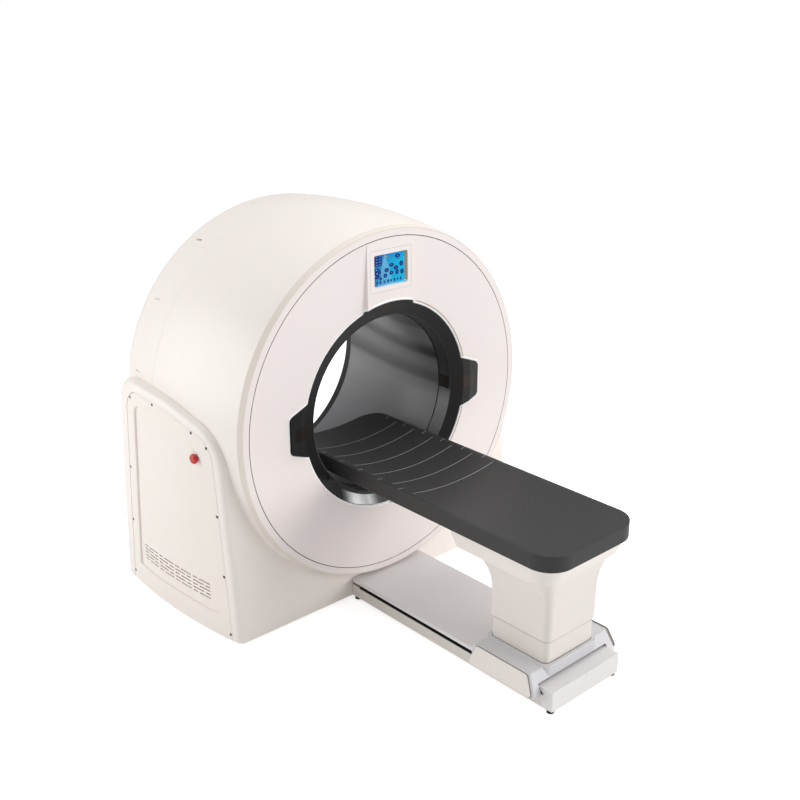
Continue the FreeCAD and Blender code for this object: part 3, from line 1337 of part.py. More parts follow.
def saddle_side_plates():
    """Skirt plates on the two sloping sides, their top edges standing up as a lip."""
    lean = (SADDLE_FOOT_HALF - SADDLE_TOP_HALF) / (SADDLE_TOP_Z - SADDLE_FOOT_Z)
    slab = prism(plate_outline(0), [PLATE_CORNER] * 4, V(FULL, 0, 0))
    outer = SADDLE_TOP_HALF + SEAM
    z0 = SADDLE_TOP_Z - FULL
    z1 = SADDLE_TOP_Z + FULL
    points = [V(outer - lean * FULL, -FULL, z1), V(outer + PLATE_THICK - lean * FULL, -FULL, z1),
              V(outer + PLATE_THICK + lean * FULL, -FULL, z0), V(outer + lean * FULL, -FULL, z0)]
    sheet = prism(points, [0] * 4, V(0, 2 * FULL, 0))
    plate = slab.common(sheet)
    broad = sorted(plate.Faces, key=lambda face: face.Area)[-2:]
    outside = max(broad, key=lambda face: face.CenterOfMass.x)
    plate = plate.makeFillet(PLATE_EDGE, outside.Edges)
    return Part.makeCompound([plate, mirrored(plate)])


def guide_blocks():
    """Four runner blocks astride the guide bars, under the tongues."""
    blocks = []
    top = SLOT_MID_Z - TONGUE_THICK / 2 - SEAM
    low = SOLE_Z + RAIL_WALL + FREE_GAP
    for x in (-GUIDE_X, GUIDE_X):
        for y in GUIDE_STATIONS:
            half = BLOCK_LENGTH / 2
            width = GUIDE_HALF + BLOCK_WALL
            block = box(x - width, x + width, y - half, y + half, low, top)
            inner = GUIDE_HALF + SLIDE_GAP
            slot = box(x - inner, x + inner, y - half - 1, y + half + 1, low - 1, GUIDE_TOP_Z + SLIDE_GAP)
            blocks.append(block.cut(slot))
    return Part.makeCompound(blocks)


def column_block(half, y0, y1, corner, z0, z1):
    """A rounded rectangular post."""
    points = [V(-half, y0, z0), V(half, y0, z0), V(half, y1, z0), V(-half, y1, z0)]
    return prism(points, [corner] * 4, V(0, 0, z1 - z0))


def lower_column_top():
    """Top of the lower column, just under the tray at the lowest position."""
    return TRAY_FLOOR_Z - LIFT_DOWN - SLEEVE_WALL - FREE_GAP * 2


def lower_column():
    """Fixed tube of the lifting column."""
    z0 = SADDLE_TOP_Z - SADDLE_WALL + SEAM
    post = column_block(LOWER_HALF_X, COLUMN_Y0, COLUMN_Y1, LOWER_CORNER, z0, lower_column_top())
    hollow = column_block(LOWER_HALF_X - LOWER_WALL, COLUMN_Y0 + LOWER_WALL, COLUMN_Y1 - LOWER_WALL,
                          LOWER_CORNER - LOWER_WALL, z0 + LOWER_WALL, FULL)
    return post.cut(hollow)


def glide_pads():
    """Low-friction pads on the four faces of the lower column, at its top."""
    z1 = lower_column_top() - FREE_GAP
    z0 = z1 - PAD_HEIGHT
    x0 = LOWER_HALF_X + SEAM
    pads = []
    side = box(x0, x0 + PAD_THICK, COLUMN_MID_Y - PAD_HALF, COLUMN_MID_Y + PAD_HALF, z0, z1)
    pads.append(side)
    pads.append(mirrored(side))
    front = COLUMN_Y0 - SEAM
    rear = COLUMN_Y1 + SEAM
    pads.append(box(-PAD_HALF, PAD_HALF, front - PAD_THICK, front, z0, z1))
    pads.append(box(-PAD_HALF, PAD_HALF, rear, rear + PAD_THICK, z0, z1))
    return Part.makeCompound(pads)


def actuator_foot():
    """Underside of the lifting screw's body, on the floor of the lower column."""
    return SADDLE_TOP_Z - SADDLE_WALL + LOWER_WALL + 2 * SEAM


def lift_actuator():
    """Body of the lifting screw, standing in the lower column."""
    z0 = actuator_foot()
    body = cylinder_z(ACTUATOR_RADIUS, z0, lower_column_top() - ACTUATOR_DROP, 0, COLUMN_MID_Y)
    bore = cylinder_z(ROD_RADIUS + SHAFT_GAP, z0 + ACTUATOR_FLOOR, FULL, 0, COLUMN_MID_Y)
    return body.cut(bore)


# ---------------------------------------------------------------- lifting part

def lift_rod():
    """Rod that pushes up the tray."""
    low = actuator_foot() + ACTUATOR_FLOOR + LIFT_DOWN + ROD_CLEARANCE
    return cylinder_z(ROD_RADIUS, low, TRAY_FLOOR_Z - SLEEVE_WALL - SEAM, 0, COLUMN_MID_Y)


def tray_section(z, side, outer, inner, corner):
    """Rounded outline of the tray or the sleeve at one height."""
    return rounded_wire([V(-side, outer, z), V(side, outer, z), V(side, inner, z), V(-side, inner, z)],
                        [corner] * 4)


TRAY_HALF = TABLETOP_WIDTH / 2 - TRAY_SIDE_INSET
TRAY_OUTER_Y = -TABLE_REACH + TRAY_OUTER_INSET
TRAY_INNER_Y = TRAY_OUTER_Y + TRAY_LENGTH
TRAY_FLOOR_HALF = TRAY_HALF - TRAY_TAPER_SIDE
TRAY_FLOOR_OUTER = TRAY_OUTER_Y + TRAY_TAPER_OUTER
TRAY_FLOOR_INNER = TRAY_INNER_Y - TRAY_TAPER_INNER


def table_tray():
    """Tapered moulded tray under the outer half of the tabletop."""
    low = tray_section(TRAY_FLOOR_Z, TRAY_FLOOR_HALF, TRAY_FLOOR_OUTER, TRAY_FLOOR_INNER, TRAY_CORNER - TRAY_TAPER_SIDE)
    high = tray_section(TRAY_TOP_Z, TRAY_HALF, TRAY_OUTER_Y, TRAY_INNER_Y, TRAY_CORNER)
    return Part.makeLoft([low, high], True, True)


SLEEVE_GAP = PAD_THICK + SEAM + SLIDE_GAP
SLEEVE_HALF = LOWER_HALF_X + SLEEVE_GAP + SLEEVE_WALL
SLEEVE_OUTER = COLUMN_Y0 - SLEEVE_GAP - SLEEVE_WALL
SLEEVE_INNER = COLUMN_Y1 + SLEEVE_GAP + SLEEVE_WALL
SLEEVE_TOP_Z = TRAY_FLOOR_Z - SEAM
FLARE_Z = SLEEVE_TOP_Z - FLARE_HEIGHT
SPREAD_SIDE = TRAY_FLOOR_HALF - SEAM * 2 - SLEEVE_HALF
SPREAD_OUTER = SLEEVE_OUTER - TRAY_FLOOR_OUTER - SEAM * 2
SPREAD_INNER = TRAY_FLOOR_INNER - SEAM * 2 - SLEEVE_INNER


def flare_share(z):
    """How far the quarter round has spread at a height, from 0 at its foot to 1 at the tray."""
    rise = (z - FLARE_Z) / FLARE_HEIGHT
    return 1 - math.sqrt(1 - rise ** 2)


def plug_bars(radius, depth, proud):
    """Bars at the small plugs of the sleeve, from a depth in its wall out through its face."""
    bars = []
    for side in (-1, 1):
        for drop in PLUG_FRONT_DROPS:
            z = TRAY_FLOOR_Z - drop
            face = SLEEVE_OUTER - SPREAD_OUTER * flare_share(z)
            bars.append(cylinder_y(radius, face - proud, SLEEVE_OUTER + depth, side * PLUG_FRONT_X, z))
        z = TRAY_FLOOR_Z - PLUG_SIDE_DROP
        length = depth + SPREAD_SIDE * flare_share(z) + proud
        start = V(side * (SLEEVE_HALF - depth), SLEEVE_OUTER + PLUG_SIDE_INSET, z)
        bars.append(Part.makeCylinder(radius, length, start, X_AXIS * side))
    return bars


def column_sleeve():
    """Moving tube of the column, flaring in a quarter round into the tray."""
    wires = []
    for step in range(FLARE_STEPS + 1):
        z = FLARE_Z + FLARE_HEIGHT * math.sin(math.pi / 2 * step / FLARE_STEPS)
        share = flare_share(min(z, SLEEVE_TOP_Z))
        corner = SLEEVE_CORNER + (TRAY_CORNER - TRAY_TAPER_SIDE - SLEEVE_CORNER) * share
        wires.append(tray_section(z, SLEEVE_HALF + SPREAD_SIDE * share, SLEEVE_OUTER - SPREAD_OUTER * share,
                                  SLEEVE_INNER + SPREAD_INNER * share, corner))
    flare = Part.makeLoft(wires, True, False)
    low = SADDLE_TOP_Z + SLEEVE_REVEAL
    tube = column_block(SLEEVE_HALF, SLEEVE_OUTER, SLEEVE_INNER, SLEEVE_CORNER, low, FLARE_Z)
    hollow = column_block(LOWER_HALF_X + SLEEVE_GAP, COLUMN_Y0 - SLEEVE_GAP, COLUMN_Y1 + SLEEVE_GAP,
                          LOWER_CORNER + SLEEVE_GAP, low - 1, SLEEVE_TOP_Z - SLEEVE_WALL)
    sleeve = cut_all(tube.fuse(flare), plug_bars(PLUG_RADIUS + SHAFT_GAP, PLUG_DEPTH, FREE_GAP * 2))
    return sleeve.cut(hollow).removeSplitter()


def sleeve_screws():
    """Small plugs sunk near the corners of the sleeve."""
    return Part.makeCompound(plug_bars(PLUG_RADIUS, PLUG_DEPTH - SEAM, SEAM))


def dish_section(y, share):
    """Segment of the hollow that is cut from the tabletop at one station."""
    half = TABLETOP_WIDTH / 2 - TABLETOP_RIM
    sag = TABLETOP_SAG * share
    left = V(-half, y, TABLETOP_Z + SEAM)
    right = V(half, y, TABLETOP_Z + SEAM)
    arc = Part.Arc(left, V(0, y, TABLETOP_Z - sag), right).toShape()
    top_right = right + V(0, 0, TABLETOP_THICK)
    top_left = left + V(0, 0, TABLETOP_THICK)
    lines = [Part.LineSegment(right, top_right).toShape(),
             Part.LineSegment(top_right, top_left).toShape(),
             Part.LineSegment(top_left, left).toShape()]
    return Part.Wire([arc] + lines)


def tabletop():
    """Carbon tabletop, dished across and flattening towards its outer end."""
    z0 = TABLETOP_Z - TABLETOP_THICK
    outer = -TABLE_REACH
    inner = outer + TABLETOP_LENGTH
    half = TABLETOP_WIDTH / 2
    points = [V(-half, outer, z0), V(half, outer, z0), V(half, inner, z0), V(-half, inner, z0)]
    corners = [TABLETOP_OUTER_CORNER, TABLETOP_OUTER_CORNER, TABLETOP_INNER_CORNER, TABLETOP_INNER_CORNER]
    slab = prism(points, corners, V(0, 0, TABLETOP_THICK))
    low_edges = [edge for edge in slab.Edges if edge.BoundBox.ZMax < z0 + 1]
    slab = slab.makeFillet(TABLETOP_EDGE, low_edges)
    wires = [dish_section(inner + 1 - distance, share) for distance, share in DISH_STATIONS]
    return slab.cut(Part.makeLoft(wires, True, False))


# ---------------------------------------------------------------- export

def build_nodes():
    """Every piece of the machine under its own name."""
    front_shell, rear_shell = gantry_shells()
    return {
        "base_frame": base_frame(),
        "bearing_carrier": bearing_carrier(),
        "bearing_outer": bearing_outer(),
        "brush_block": brush_block(),
        "drive_motor": drive_motor(),
        "drive_belt": drive_belt(),
        "power_unit": cabinet(-1),
        "cooling_unit": cabinet(1),
        "gantry_feet": gantry_feet(),
        "front_shell": front_shell,
        "rear_shell": rear_shell,
        "rear_cover": rear_cover(),
        "front_cover": front_cover(),
        "front_rim": front_rim(),
        "rim_trim": rim_trim(),
        "bore_front_ring": bore_front_ring(),
        "bore_lower_trim": bore_lower_trim(),
        "laser_windows": laser_windows(),
        "bore_band": bore_band(),
        "bore_liner": bore_liner(),
        "rear_bore_ring": rear_bore_ring(),
        "display_bezel": display_bezel(),
        "display_screen": display_screen(),
        "side_panel_left": side_panel(-1),
        "side_panel_right": side_panel(1),
        "panel_screws": panel_screws(),
        "stop_collar": stop_collar(),
        "stop_head": stop_head(),
        "rotor_frame": rotor_frame(),
        "bearing_inner": bearing_inner(),
        "slip_ring": slip_ring(),
        "xray_tube": xray_tube(),
        "collimator": collimator(),
        "detector_arc": detector_arc(),
        "high_voltage_tank": high_voltage_tank(),
        "counterweight": counterweight(),
        "motor_pulley": motor_pulley(),
        "rail_body": rail_body(),
        "rail_top_cover": rail_top_cover(),
        "guide_rails": guide_rails(),
        "end_block": end_block(),
        "rail_feet": rail_feet(),
        "carriage_saddle": carriage_saddle(),
        "saddle_side_plates": saddle_side_plates(),
        "guide_blocks": guide_blocks(),
        "lower_column": lower_column(),
        "glide_pads": glide_pads(),
        "lift_actuator": lift_actuator(),
        "lift_rod": lift_rod(),
        "column_sleeve": column_sleeve(),
        "sleeve_screws": sleeve_screws(),
        "table_tray": table_tray(),
        "tabletop": tabletop(),
    }


def main():
    """Move every piece to the floor origin and write it."""
    os.makedirs("parts", exist_ok=True)
    for name, shape in build_nodes().items():
        moved = shape.translated(V(0, FACE_Y, AXIS_HEIGHT))
        if not moved.isValid() or moved.Volume <= 0:
            raise ValueError(name + " is not a sound solid")
        moved.exportStep("parts/" + name + ".step")
        print(name, len(moved.Solids), "solids", round(moved.Volume / 1e6, 3), "litres")


main()
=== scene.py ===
"""Looks of a computed tomography scanner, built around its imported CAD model.

The machine stands on a white studio floor.  +Y runs along the bore from the table to the gantry,
+Z is up, and every length that is built is in metres.  Sizes are written in millimetres, most of
them from the bore axis at the gantry's face, and machine() turns such a point to the row frame.
"""

import logging
import math
from dataclasses import dataclass, field
from enum import Enum
from functools import lru_cache

import bmesh
import bpy
from mathutils import Matrix, Vector
from mathutils.bvhtree import BVHTree


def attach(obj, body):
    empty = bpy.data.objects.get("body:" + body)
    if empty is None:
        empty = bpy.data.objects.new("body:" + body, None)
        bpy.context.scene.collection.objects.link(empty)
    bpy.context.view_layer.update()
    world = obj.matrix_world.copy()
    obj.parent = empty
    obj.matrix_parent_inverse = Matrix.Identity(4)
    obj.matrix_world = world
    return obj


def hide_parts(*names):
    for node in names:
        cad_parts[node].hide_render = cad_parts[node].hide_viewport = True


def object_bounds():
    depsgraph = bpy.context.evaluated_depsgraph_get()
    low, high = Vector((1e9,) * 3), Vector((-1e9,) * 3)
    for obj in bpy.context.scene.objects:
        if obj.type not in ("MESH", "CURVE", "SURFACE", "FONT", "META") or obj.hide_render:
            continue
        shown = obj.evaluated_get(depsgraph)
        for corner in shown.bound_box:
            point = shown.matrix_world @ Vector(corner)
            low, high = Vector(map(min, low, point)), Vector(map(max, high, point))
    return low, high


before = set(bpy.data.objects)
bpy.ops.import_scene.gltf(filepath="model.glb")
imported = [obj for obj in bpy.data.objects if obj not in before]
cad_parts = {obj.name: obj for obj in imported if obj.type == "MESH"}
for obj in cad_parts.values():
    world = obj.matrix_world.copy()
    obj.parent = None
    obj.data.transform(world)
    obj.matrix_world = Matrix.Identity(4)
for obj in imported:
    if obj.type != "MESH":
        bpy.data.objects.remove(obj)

LOG = logging.getLogger("ct_scanner")
CAD_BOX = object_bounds()

MM = 0.001
AXIS_HEIGHT = 0.785          # of the bore axis above the floor
FACE_Y = 0.096                # of the gantry's face
TO_FRONT = Vector((0.0, -1.0, 0.0))
TO_BACK = Vector((0.0, 1.0, 0.0))
UP = Vector((0.0, 0.0, 1.0))
DOWN = Vector((0.0, 0.0, -1.0))


def machine(x: float, y: float, z: float) -> Vector:
    """Point given in millimetres from the bore axis at the gantry's face, in the row frame."""
    return Vector((x * MM, y * MM + FACE_Y, z * MM + AXIS_HEIGHT))


# --------------------------------------------------------------------------------------------
# Colour and node helpers
# --------------------------------------------------------------------------------------------

def linear(code: str) -> tuple[float, float, float, float]:
    """Turn an sRGB hex colour to Blender's linear colour.

    Args:
        code: six hex digits, such as "F2ECE6".

    Returns:
        Linear red, green, blue and an alpha of 1.
    """
    channels = []
    for start in (0, 2, 4):
        value = int(code[start:start + 2], 16) / 255
        channels.append(value / 12.92 if value <= 0.04045 else ((value + 0.055) / 1.055) ** 2.4)
    return (channels[0], channels[1], channels[2], 1.0)


def per_metre(size_mm: float) -> float:
    """Scale of a pattern whose cells are this many millimetres wide, on Object coordinates."""
    return 1.0 / (size_mm * MM)


def add_node(tree: bpy.types.NodeTree, kind: str, settings: dict | None = None,
             inputs: dict | None = None) -> bpy.types.Node:
    """Add one node with its settings, and set or link its inputs.

    Args:
        tree: node tree that takes the node.
        kind: Blender's name of the node type.
        settings: attributes of the node itself; "stops" gives a colour ramp's (position, colour).
        inputs: value or output socket for each input, by name or number.

    Returns:
        The new node.
    """
    node = tree.nodes.new(kind)
    for name, value in (settings or {}).items():
        if name == "stops":
            ramp = node.color_ramp
            while len(ramp.elements) < len(value):
                ramp.elements.new(1.0)
            for element, (position, colour) in zip(ramp.elements, value):
                element.position = position
                element.color = colour
        else:
            setattr(node, name, value)
    for name, value in (inputs or {}).items():
        if isinstance(value, bpy.types.NodeSocket):
            tree.links.new(value, node.inputs[name])
        else:
            node.inputs[name].default_value = value
    return node


def new_tree(name: str) -> tuple[bpy.types.Material, bpy.types.NodeTree]:
    """Start a node material with an empty tree.

    Args:
        name: what the material is called.

    Returns:
        The material and its tree.
    """
    material = bpy.data.materials.new(name)
    material.use_nodes = True
    material.node_tree.nodes.clear()
    return material, material.node_tree


# --------------------------------------------------------------------------------------------
# Finishes
# --------------------------------------------------------------------------------------------

class Pattern(Enum):
    """How a surface was made, which sets its fine structure."""

    MOULDED = "moulded"        # even orange peel
    BRUSHED = "brushed"        # long scratches along one axis
    CAST = "cast"              # coarse sand skin
    WOVEN = "woven"            # resin over cloth


@dataclass(frozen=True)
class Finish:
    """One solid finish: its colour with slow drift, its gloss and its fine relief."""

    name: str
    colour: str
    drift: str                       # second colour, mixed in as large soft patches
    roughness: float
    roughness_spread: float = 0.05
    metallic: float = 0.0
    ior: float = 1.5
    shine: float = 0.5               # level of the plain reflection
    coat: float = 0.0
    coat_roughness: float = 0.1
    pattern: Pattern = Pattern.MOULDED
    grain_mm: float = 3.0
    relief: float = 0.12
    relief_mm: float = 0.05
    drift_mm: float = 320.0
    drift_share: float = 0.4
    brush_axis: tuple[float, float, float] = (1.0, 1.0, 1.0)

    def grain(self, tree: bpy.types.NodeTree, place: bpy.types.NodeSocket) -> bpy.types.NodeSocket:
        """Fine structure of the surface.

        Args:
            tree: the material's tree.
            place: Object coordinates.

        Returns:
            Height from 0 to 1.
        """
        if self.pattern is Pattern.WOVEN:
            return self.weave(tree, place)
        if self.pattern is Pattern.BRUSHED:
            stretch = add_node(tree, "ShaderNodeMapping", {}, {
                "Vector": place, "Scale": self.brush_axis})
            place = stretch.outputs["Vector"]
        coarse = self.pattern in (Pattern.CAST, Pattern.BRUSHED)
        noise = add_node(tree, "ShaderNodeTexNoise", {}, {
            "Vector": place, "Scale": per_metre(self.grain_mm),
            "Detail": 4.0 if coarse else 1.5, "Roughness": 0.55})
        return noise.outputs["Fac"]

    def weave(self, tree: bpy.types.NodeTree, place: bpy.types.NodeSocket) -> bpy.types.NodeSocket:
        """Two crossing bands of thread, the one over the other in turn.

        Args:
            tree: the material's tree.
            place: Object coordinates.

        Returns:
            Height from 0 to 1.
        """
        bands = []
        for turn in (math.pi / 4, -math.pi / 4):
            turned = add_node(tree, "ShaderNodeMapping", {}, {
                "Vector": place, "Rotation": (0.0, 0.0, turn)})
            band = add_node(tree, "ShaderNodeTexWave", {"bands_direction": "X"}, {
                "Vector": turned.outputs["Vector"], "Scale": per_metre(self.grain_mm) / 20,
                "Distortion": 0.3, "Detail": 1.0, "Detail Scale": 2.0})
            bands.append(band.outputs["Fac"])
        cross = add_node(tree, "ShaderNodeMath", {"operation": "MULTIPLY"}, {0: bands[0], 1: bands[1]})
        return cross.outputs["Value"]

    def body_colour(self, tree: bpy.types.NodeTree,
                    place: bpy.types.NodeSocket) -> bpy.types.NodeSocket:
        """The colour with its slow drift.

        Args:
            tree: the material's tree.
            place: Object coordinates.

        Returns:
            Colour socket.
        """
        slow = add_node(tree, "ShaderNodeTexNoise", {}, {
            "Vector": place, "Scale": per_metre(self.drift_mm), "Detail": 3.0, "Roughness": 0.5})
        share = add_node(tree, "ShaderNodeMapRange", {}, {
            "Value": slow.outputs["Fac"], "From Min": 0.35, "From Max": 0.7,
            "To Min": 0.0, "To Max": self.drift_share})
        colour = add_node(tree, "ShaderNodeMix", {"data_type": "RGBA"}, {
            0: share.outputs["Result"], 6: linear(self.colour), 7: linear(self.drift)})
        return colour.outputs[2]

    def build(self) -> bpy.types.Material:
        """Make the material.

        Returns:
            A node material on Object coordinates.
        """
        material, tree = new_tree(self.name)
        place = add_node(tree, "ShaderNodeTexCoord").outputs["Object"]
        grain = self.grain(tree, place)
        gloss = add_node(tree, "ShaderNodeMapRange", {}, {
            "Value": grain, "From Min": 0.3, "From Max": 0.7,
            "To Min": max(self.roughness - self.roughness_spread, 0.02),
            "To Max": self.roughness + self.roughness_spread})
        bump = add_node(tree, "ShaderNodeBump", {}, {
            "Height": grain, "Strength": self.relief, "Distance": self.relief_mm * MM})
        shader = add_node(tree, "ShaderNodeBsdfPrincipled", {}, {
            "Base Color": self.body_colour(tree, place), "Roughness": gloss.outputs["Result"],
            "Metallic": self.metallic, "IOR": self.ior, "Specular IOR Level": self.shine,
            "Coat Weight": self.coat,
            "Coat Roughness": self.coat_roughness, "Normal": bump.outputs["Normal"]})
        add_node(tree, "ShaderNodeOutputMaterial", {}, {"Surface": shader.outputs["BSDF"]})
        return material


@dataclass(frozen=True)
class SmokedRing(Finish):
    """Smoked polycarbonate that turns paler where it lies over the cream cover, at the ears; the right
    ear's full paler tone, against a share at the left, is painted light.
    """

    over_cover: str = "363534"
    left_share: float = 0.2          # of the paler tone at the left ear; the right ear's whole tone is painted light
    cover_starts_mm: float = 404.0
    cover_full_mm: float = 410.0

    def body_colour(self, tree: bpy.types.NodeTree,
                    place: bpy.types.NodeSocket) -> bpy.types.NodeSocket:
        """Dark inside the opening of the cover, and paler outside it at the ears, more at the right as
        painted light.

        Args:
            tree: the material's tree.
            place: Object coordinates.

        Returns:
            Colour socket.
        """
        dark = Finish.body_colour(self, tree, place)
        centred = add_node(tree, "ShaderNodeMapping", {}, {
            "Vector": place, "Location": (0.0, 0.0, -AXIS_HEIGHT), "Scale": (1.0, 0.0, 1.0)})
        radius = add_node(tree, "ShaderNodeVectorMath", {"operation": "LENGTH"}, {
            0: centred.outputs["Vector"]})
        outside = add_node(tree, "ShaderNodeMapRange", {"interpolation_type": "SMOOTHSTEP"}, {
            "Value": radius.outputs["Value"], "From Min": self.cover_starts_mm * MM,
            "From Max": self.cover_full_mm * MM, "To Min": 0.0, "To Max": 1.0})
        sides = add_node(tree, "ShaderNodeSeparateXYZ", {}, {"Vector": place})
        right = add_node(tree, "ShaderNodeMapRange", {}, {
            "Value": sides.outputs["X"], "From Min": 0.30, "From Max": 0.34,
            "To Min": 0.0, "To Max": 1.0})
        left = add_node(tree, "ShaderNodeMapRange", {}, {
            "Value": sides.outputs["X"], "From Min": -0.30, "From Max": -0.34,
            "To Min": 0.0, "To Max": self.left_share})
        at_ears = add_node(tree, "ShaderNodeMath", {"operation": "ADD"}, {
            0: right.outputs["Result"], 1: left.outputs["Result"]})
        both = add_node(tree, "ShaderNodeMath", {"operation": "MULTIPLY"}, {
            0: outside.outputs["Result"], 1: at_ears.outputs["Value"]})
        colour = add_node(tree, "ShaderNodeMix", {"data_type": "RGBA"}, {
            0: both.outputs["Value"], 6: dark, 7: linear(self.over_cover)})
        return colour.outputs[2]


@dataclass(frozen=True)
class PaintedReflectionLiner(Finish):
    """Polished liner whose tone changes in long bands along the bore: painted reflections."""

    # Angle above the level of the axis as a share of a half turn, and the painted reflection tone there.
    bands: tuple[tuple[float, str], ...] = (
        (0.00, "5C5C5E"), (0.32, "868688"), (0.43, "949496"), (0.47, "88888A"), (0.490, "525254"),
        (0.512, "565658"), (0.545, "7E7E80"), (0.573, "747476"), (0.592, "242426"), (0.612, "28282A"),
        (0.65, "78787A"), (0.71, "727274"), (0.74, "3A3A3C"), (0.84, "606062"), (1.00, "4C4C4E"),
    )

    def body_colour(self, tree: bpy.types.NodeTree,
                    place: bpy.types.NodeSocket) -> bpy.types.NodeSocket:
        """Painted reflection tone by the angle round the bore, the same on both sides.

        Args:
            tree: the material's tree.
            place: Object coordinates.

        Returns:
            Colour socket.
        """
        sides = add_node(tree, "ShaderNodeSeparateXYZ", {}, {"Vector": place})
        across = add_node(tree, "ShaderNodeMath", {"operation": "ABSOLUTE"}, {0: sides.outputs["X"]})
        above = add_node(tree, "ShaderNodeMath", {"operation": "SUBTRACT"}, {
            0: sides.outputs["Z"], 1: AXIS_HEIGHT})
        angle = add_node(tree, "ShaderNodeMath", {"operation": "ARCTAN2"}, {
            0: above.outputs["Value"], 1: across.outputs["Value"]})
        share = add_node(tree, "ShaderNodeMapRange", {}, {
            "Value": angle.outputs["Value"], "From Min": -math.pi / 2, "From Max": math.pi / 2,
            "To Min": 0.0, "To Max": 1.0})
        stops = [(position, linear(code)) for position, code in self.bands]
        ramp = add_node(tree, "ShaderNodeValToRGB", {"stops": stops}, {
            "Fac": share.outputs["Result"]})
        return ramp.outputs["Color"]


@dataclass(frozen=True)
class PaintedReflectionBand(Finish):
    """Polished steel band with upright dark and bright stripes of painted reflection, the same on both
    sides.
    """

    inner_mm: float = 20.0           # where the streaks start, from the middle plane
    outer_mm: float = 250.0
    painted_reflection_streaks: tuple[tuple[float, str], ...] = (
        (0.06, "262626"), (0.15, "303030"), (0.24, "545454"), (0.33, "727272"), (0.41, "696969"),
        (0.50, "777777"), (0.59, "939393"), (0.68, "9E9E9E"), (0.77, "8F8F8F"), (0.85, "5C5C5C"),
        (0.94, "2A2A2A"),
    )

    def body_colour(self, tree: bpy.types.NodeTree,
                    place: bpy.types.NodeSocket) -> bpy.types.NodeSocket:
        """Painted reflection tone by the distance from the middle plane.

        Args:
            tree: the material's tree.
            place: Object coordinates.

        Returns:
            Colour socket.
        """
        sides = add_node(tree, "ShaderNodeSeparateXYZ", {}, {"Vector": place})
        across = add_node(tree, "ShaderNodeMath", {"operation": "ABSOLUTE"}, {0: sides.outputs["X"]})
        share = add_node(tree, "ShaderNodeMapRange", {}, {
            "Value": across.outputs["Value"], "From Min": self.inner_mm * MM,
            "From Max": self.outer_mm * MM, "To Min": 0.0, "To Max": 1.0})
        stops = [(position, linear(code)) for position, code in self.painted_reflection_streaks]
        ramp = add_node(tree, "ShaderNodeValToRGB", {"stops": stops}, {
            "Fac": share.outputs["Result"]})
        return ramp.outputs["Color"]


@dataclass(frozen=True)
class Glow:
    """A lit colour on the display, with the faint unevenness of its backlight."""

    name: str
    colour: str
    strength: float = 1.0

    def build(self) -> bpy.types.Material:
        """Make the material.

        Returns:
            A node material on Object coordinates.
        """
        material, tree = new_tree(self.name)
        place = add_node(tree, "ShaderNodeTexCoord").outputs["Object"]
        patch = add_node(tree, "ShaderNodeTexNoise", {}, {
            "Vector": place, "Scale": per_metre(30.0), "Detail": 2.0})
        even = add_node(tree, "ShaderNodeMapRange", {}, {
            "Value": patch.outputs["Fac"], "From Min": 0.3, "From Max": 0.7,
            "To Min": 0.86 * self.strength, "To Max": self.strength})
        shader = add_node(tree, "ShaderNodeBsdfPrincipled", {}, {
            "Base Color": linear("06080C"), "Roughness": 0.2, "IOR": 1.25,
            "Emission Color": linear(self.colour), "Emission Strength": even.outputs["Result"]})
        add_node(tree, "ShaderNodeOutputMaterial", {}, {"Surface": shader.outputs["BSDF"]})
        return material


